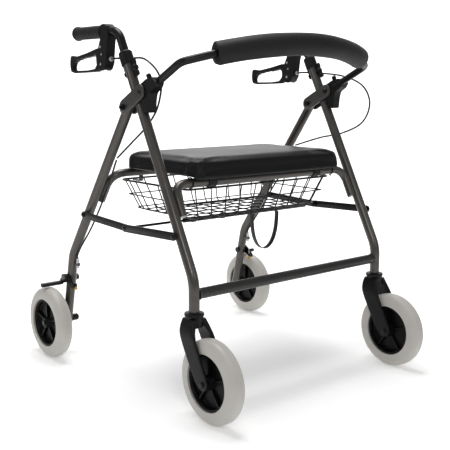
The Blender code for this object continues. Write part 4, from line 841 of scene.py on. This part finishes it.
# %% Brake levers and their screws
LOOP_MIDDLE, LEVER_T, LOOP_CORNER = np.array((0.1550, -0.0780)), 0.0148, 0.008
WAVE, WAVE_PITCH, WAVES_FROM, WAVES_ABOVE = 0.0017, 0.0215, 0.106, -0.0740
OUTER = [
    (0.0500, -0.0500), (0.0620, -0.0450), (0.0960, -0.0400), (0.1450, -0.0500), (0.2000, -0.0585),
    (0.2260, -0.0545), (0.2320, -0.0600), (0.2330, -0.0800), (0.2280, -0.0980), (0.2100, -0.1020),
    (0.1400, -0.1005), (0.0950, -0.0990), (0.0800, -0.0900), (0.0640, -0.0700), (0.0500, -0.0650),
]
INNER = [
    (0.1040, -0.0560), (0.1300, -0.0610), (0.1550, -0.0620), (0.1900, -0.0680), (0.2080, -0.0740),
    (0.2170, -0.0860), (0.2140, -0.0950), (0.1400, -0.0945), (0.1080, -0.0910), (0.0960, -0.0800),
    (0.0960, -0.0660),
]
LEVER_PIN = (0.0610, -0.0560)
SCREWS = ((0.0665, -0.0375), LEVER_PIN, (0.0660, -0.0800))
PIN_PROFILE = [(0.0, -0.0136), (0.0030, -0.0136), (0.0030, 0.0136), (0.0, 0.0136)]
ADJUSTER = [
    (0.0, 0.0), (0.0044, 0.0), (0.0056, 0.0016), (0.0060, 0.0045), (0.0056, 0.0074),
    (0.0044, 0.0088), (0.0036, 0.0092), (0.0036, 0.0122), (0.0, 0.0124),
]
CLAMP = [
    (0.0, -0.0100), (0.0040, -0.0100), (0.0052, -0.0090), (0.0052, -0.0050),
    (0.0044, -0.0044), (0.0044, -0.0010), (0.0, -0.0010),
]
CLAMP_AT = (0.0065, 0.2705, 0.2085)


def by_rays(outline, angles):
    """The outline, corners rounded, where rays from the loop's middle cross it: r is read off by angle."""
    ring = even_ring(bend(outline, LOOP_CORNER, 8, closed=True), 600) - LOOP_MIDDLE
    angle, reach = np.arctan2(ring[:, 1], ring[:, 0]), np.linalg.norm(ring, axis=1)
    order = np.argsort(angle)
    reach = np.interp(angles, angle[order], reach[order], period=2 * np.pi)
    return LOOP_MIDDLE + reach[:, None] * np.stack([np.cos(angles), np.sin(angles)], axis=1)


angles = np.linspace(-np.pi, np.pi, 220, endpoint=False)
outer_edge, inner_edge = by_rays(OUTER, angles), by_rays(INNER, angles)
upper = np.clip((inner_edge[:, 1] - WAVES_ABOVE) / 0.004, 0, 1)
upper *= np.clip((inner_edge[:, 0] - WAVES_FROM) / 0.006, 0, 1)
inner_edge[:, 1] -= WAVE * upper * (0.5 - 0.5 * np.cos(2 * np.pi * inner_edge[:, 0] / WAVE_PITCH))
screw_head = [(0.0, 0.0128)] + dome(0.0030, 0.0013, 0.0130)
for side, s in SIDES:
    x, home = s * LEG_X, BEND[side][1:]
    loop = between(outer_edge + home, inner_edge + home, x, LEVER_T, 24, 0.5, loop=True)
    pivot = turn(PIN_PROFILE, (x, *(home + LEVER_PIN)), (1, 0, 0), 24)
    piece("lever_loop_" + side, [loop, pivot], moulded_nylon, "brake_lever_" + side, 42)
    heads = [turn(screw_head, (x, *(home + spot)), (w, 0, 0), 20) for spot in SCREWS for w in (-1, 1)]
    piece("housing_screws_" + side, heads, zinc_plate, "brake_housing_" + side, 40)
    adjuster = turn(ADJUSTER, (x, *(home + (0.0410, -0.0680))), (0, -1, 0.05), 28)
    piece("cable_adjuster_" + side, [adjuster], zinc_plate, "brake_housing_" + side, 40)
    clamp_x, clamp_y, clamp_z = x + s * CLAMP_AT[0], *CLAMP_AT[1:]
    clamp = turn(CLAMP, (clamp_x, clamp_y, clamp_z), (0, 0, 1), 24)
    piece("brass_nut_" + side, [clamp], brass, "brake_arm_" + side, 30)
    wire = [(x - s * STOP_INSET, STOP_Y, STOP_Z - 0.0100), (x + s * 0.0040, 0.2700, 0.2300)]
    wire.append((clamp_x, clamp_y, clamp_z + 0.0015))
    core = carry(through(wire, 6), circle(0.0008, 10), (1, 0.1, 0.1))
    piece("bare_wire_" + side, [core], zinc_plate, "rear_leg_" + side)
print("levers, screws, adjusters and brake wires done")

# %% [markdown]
# The brake cables are plastic sheaths 5 mm across, each held from its lever housing
# to a clip on the rear leg and on to the stop by the wheel. The left one swings out
# in a wide loop. Their routes are smooth curves through given points.

# %% Brake cables
CABLE_R, CLIP_Z = 0.0025, 0.575
clip_y = rear_y(CLIP_Z) - 0.0100


def sheath(name, route, node):
    """A cable sheath through the points of a route."""
    surface = carry(through(route, 10), circle(CABLE_R, 14), (1.0, 0.1, 0.1))
    piece(name, [surface], cable_sheath, node)


for side, s in SIDES:
    x, stop_x = s * LEG_X, s * (LEG_X - STOP_INSET)
    mouth = BEND[side] + (0, 0.0285, -0.0677)
    z = mouth[2]
    route = [mouth, mouth + (0, -0.007, GAP)]
    if side == "right":
        clip_x, low_x, lower_x = x + 0.0165, x + 0.0170, x + 0.0120
        route += [mouth + (0.006, -0.016, 0.001), (x + 0.0225, 0.0080, z + 0.001)]
        route += [(x + 0.0260, -0.0400, z - 0.002), (x + 0.0300, -0.0850, z - 0.030)]
        route += [(x + 0.0320, -0.1000, 0.7650), (x + 0.0330, -0.0800, 0.7100), (x + 0.0320, -0.0350, 0.6650)]
        route += [(x + 0.0210, 0.0200, 0.6200), (clip_x, clip_y - 0.004, CLIP_Z + 0.006)]
    else:
        clip_x, low_x, lower_x = x + 0.0185, x + 0.0100, x + 0.0060
        route += [mouth + (0.010, -0.019, 0.001), (x + 0.0300, -0.0100, z - 0.001)]
        route += [(x + 0.0560, -0.0800, z - 0.010), (x + 0.0720, -0.1400, 0.7650)]
        route += [(x + 0.0765, -0.1650, 0.7150), (x + 0.0720, -0.1420, 0.6600), (x + 0.0620, -0.0750, 0.6270)]
        route += [(x + 0.0420, -0.0100, 0.6120), (clip_x, clip_y - 0.006, CLIP_Z + 0.010)]
    sheath("sheath_upper_" + side, route, "cable_upper_" + side)
    route = [(clip_x, clip_y + GAP, CLIP_Z), (clip_x, rear_y(0.52) - 0.016, 0.52)]
    route += [(low_x, rear_y(0.45) - 0.0180, 0.45), (lower_x, rear_y(0.38) - 0.0205, 0.38)]
    route += [(stop_x, rear_y(0.325) - 0.0215, 0.325), (stop_x, STOP_Y, 0.2960)]
    route.append((stop_x, STOP_Y, STOP_Z + 0.0170 + GAP))
    sheath("sheath_lower_" + side, route, "cable_lower_" + side)
print("cables done")

# %% [markdown]
# The seat is a board with foam under stretched vinyl. A closed box with round corners
# is inflated by a short cloth simulation, so the sides swell between the corners and
# the top crowns, and its underside stays flat on the rails. The simulation's result
# is then capped, applied and subdivided once.

# %% Seat cushion
SEAT_X, SEAT_Y0, SEAT_Y1, SEAT_LOW, SEAT_TOP, SEAT_CORNER = 0.260, -0.195, 0.125, 0.5483, 0.5920, 0.034
SHRINK, LIP, LIP_FROM_Y, LIP_EASE = 0.0020, 0.0075, -0.172, 0.008
VOXEL, PRESSURE, FRAMES, CAP, OVER = 0.005, 4.0, 20, 0.006, 0.004


def cushion_skin(columns=240):
    """Rings of a round-cornered rectangle, set in and raised along a rounded side and a crowned top.

    The front edge wraps the board: its lowest rings hang by LIP where y is ahead of the rail.
    """
    half_x, half_y = SEAT_X - SHRINK, (SEAT_Y1 - SEAT_Y0) / 2 - SHRINK
    low, top = SEAT_LOW + 0.001, SEAT_TOP - SHRINK
    side = [
        (0.0200, low, 0.0), (0.0110, low, 0.0), (0.0090, low, 1.0), (0.0050, low - 0.0005, 1.0),
        (0.0015, low + 0.003, 1.0), (0.0, low + 0.010, 0.6), (0.0, top - 0.012, 0.0),
        (0.0025, top - 0.0055, 0.0), (0.0080, top - 0.0020, 0.0),
    ]
    for u in np.linspace(0, 1, 24)[1:]:
        side.append((0.0080 + 0.1380 * u, top - 0.0020 + 0.0020 * math.sin(u * math.pi / 2), 0.0))
    rings = []
    for inset, z, hang in side:
        corner = max(SEAT_CORNER - inset, 0.002)
        ring = even_ring(soft_box(2 * (half_x - inset), 2 * (half_y - inset), corner, 10), columns)
        y = ring[:, 1] + (SEAT_Y0 + SEAT_Y1) / 2
        ahead_of_rail = np.clip((LIP_FROM_Y - y) / LIP_EASE, 0, 1)
        rings.append(np.column_stack([ring[:, 0], y, z - LIP * hang * ahead_of_rail]))
    return skin(np.array(rings))


def evaluated_mesh(obj):
    """The object's mesh with its modifiers worked in, at the present frame."""
    return bpy.data.meshes.new_from_object(obj.evaluated_get(bpy.context.evaluated_depsgraph_get()))


def coordinates(mesh):
    """The mesh's vertices as rows of x, y and z."""
    flat = np.zeros(len(mesh.vertices) * 3)
    mesh.vertices.foreach_get("co", flat)
    return flat.reshape(-1, 3)


seat = piece("seat_pad", [cushion_skin()], seat_vinyl, "seat_cushion", 70)
remesh = seat.modifiers.new("remesh", "REMESH")
remesh.mode = "VOXEL"
remesh.voxel_size = VOXEL
before = evaluated_mesh(seat)
seat.modifiers.clear()
seat.data = before
start = coordinates(before)
held = seat.vertex_groups.new(name="held")
held.add(np.nonzero(start[:, 2] < SEAT_LOW + 0.003)[0].tolist(), 1.0, "REPLACE")
cloth = seat.modifiers.new("cloth", "CLOTH")
cloth.settings.use_pressure = True
cloth.settings.uniform_pressure_force = PRESSURE
cloth.settings.effector_weights.gravity = 0.0
cloth.settings.vertex_group_mass = "held"
for number in range(1, FRAMES + 1):
    bpy.context.scene.frame_set(number)
blown = evaluated_mesh(seat)
move = coordinates(blown) - start
size = np.linalg.norm(move, axis=1, keepdims=True)
settled = start + move * np.minimum(1.0, CAP / np.maximum(size, 1e-9))
settled[:, 2] = np.clip(settled[:, 2], np.minimum(start[:, 2], SEAT_LOW), SEAT_TOP + OVER)
blown.vertices.foreach_set("co", settled.ravel())
seat.modifiers.clear()
seat.vertex_groups.clear()
seat.data = blown
blown.materials.clear()
blown.materials.append(seat_vinyl)
blown.shade_smooth()
bpy.context.scene.frame_set(1)
print("seat cushion swelled by up to %.1f mm" % (1000 * min(CAP, float(size.max()))))
smooth = seat.modifiers.new("smooth", "SUBSURF")
smooth.levels = smooth.render_levels = 1

# %% [markdown]
# The stage is a pale floor that curves up into a backdrop, lit like a product table:
# a big soft box above, a small one over the camera that draws the bright lines on
# tubes and tyres, a weak fill from each side, and a wash on the backdrop.

# %% Stage and light
FLOOR_HALF, SWEEP_R, BACK_AT, WALL_Z = 6.0, 1.5, 3.2, 5.0
away = np.array((math.sin(YAW), math.cos(YAW), 0.0))
across = np.array((math.cos(YAW), -math.sin(YAW), 0.0))
arc = [(BACK_AT + SWEEP_R * math.sin(t), SWEEP_R * (1 - math.cos(t))) for t in np.linspace(0, np.pi / 2, 24)]
profile = [(-FLOOR_HALF, 0.0)] + arc + [(BACK_AT + SWEEP_R, WALL_Z)]
grid = np.array([[d * away + w * FLOOR_HALF * across + (0, 0, z) for w in (-1, 1)] for d, z in profile])
index = np.arange(len(profile) * 2).reshape(-1, 2)
faces = np.stack([index[:-1, 0], index[:-1, 1], index[1:, 1], index[1:, 0]], 1).tolist()
sweep = bpy.data.meshes.new("backdrop")
sweep.from_pydata(grid.reshape(-1, 3).tolist(), [], faces)
sweep.shade_smooth()
paper = bpy.data.materials.new("backdrop_paper")
paper.use_nodes = True
sheet = paper.node_tree.nodes["Principled BSDF"]
sheet.inputs["Base Color"].default_value = linear("#fafafa")
sheet.inputs["Roughness"].default_value = 0.9
sheet.inputs["Specular IOR Level"].default_value = 0.1
sheet.inputs["Emission Color"].default_value = linear("#ffffff")
sheet.inputs["Emission Strength"].default_value = 0.22
sweep.materials.append(paper)
new_object("backdrop", sweep)


def soft_light(name, place, aim, size, watts):
    """A square soft box at a place, turned so that it faces its aim."""
    lamp = bpy.data.lights.new(name, "AREA")
    lamp.shape, lamp.size, lamp.energy = "SQUARE", size, watts
    facing = (Vector(aim) - Vector(place)).to_track_quat("-Z", "Y").to_matrix().to_4x4()
    new_object(name, lamp).matrix_world = Matrix.Translation(place) @ facing


soft_light("top_box", (0.0, 0.4, 3.0), (0, 0, 0), 1.6, 62)
soft_light("camera_box", (-1.5, -2.2, 1.75), (0, 0, 0.45), 0.5, 11)
soft_light("right_box", (0.8, -3.2, 1.8), (0, 0, 0.4), 1.2, 9)
soft_light("left_box", (-3.0, 0.6, 2.0), (0, 0, 0.5), 1.2, 10)
soft_light("wall_wash", (away * 2.0 + (0, 0, 3.0)).tolist(), (away * 5.0 + (0, 0, 1.0)).tolist(), 2.5, 110)
world = bpy.data.worlds.new("studio")
world.use_nodes = True
world.node_tree.nodes["Background"].inputs["Color"].default_value = linear("#ffffff")
world.node_tree.nodes["Background"].inputs["Strength"].default_value = 0.26
bpy.context.scene.world = world
bpy.context.scene.view_settings.view_transform = "Standard"
print("stage and lights done")
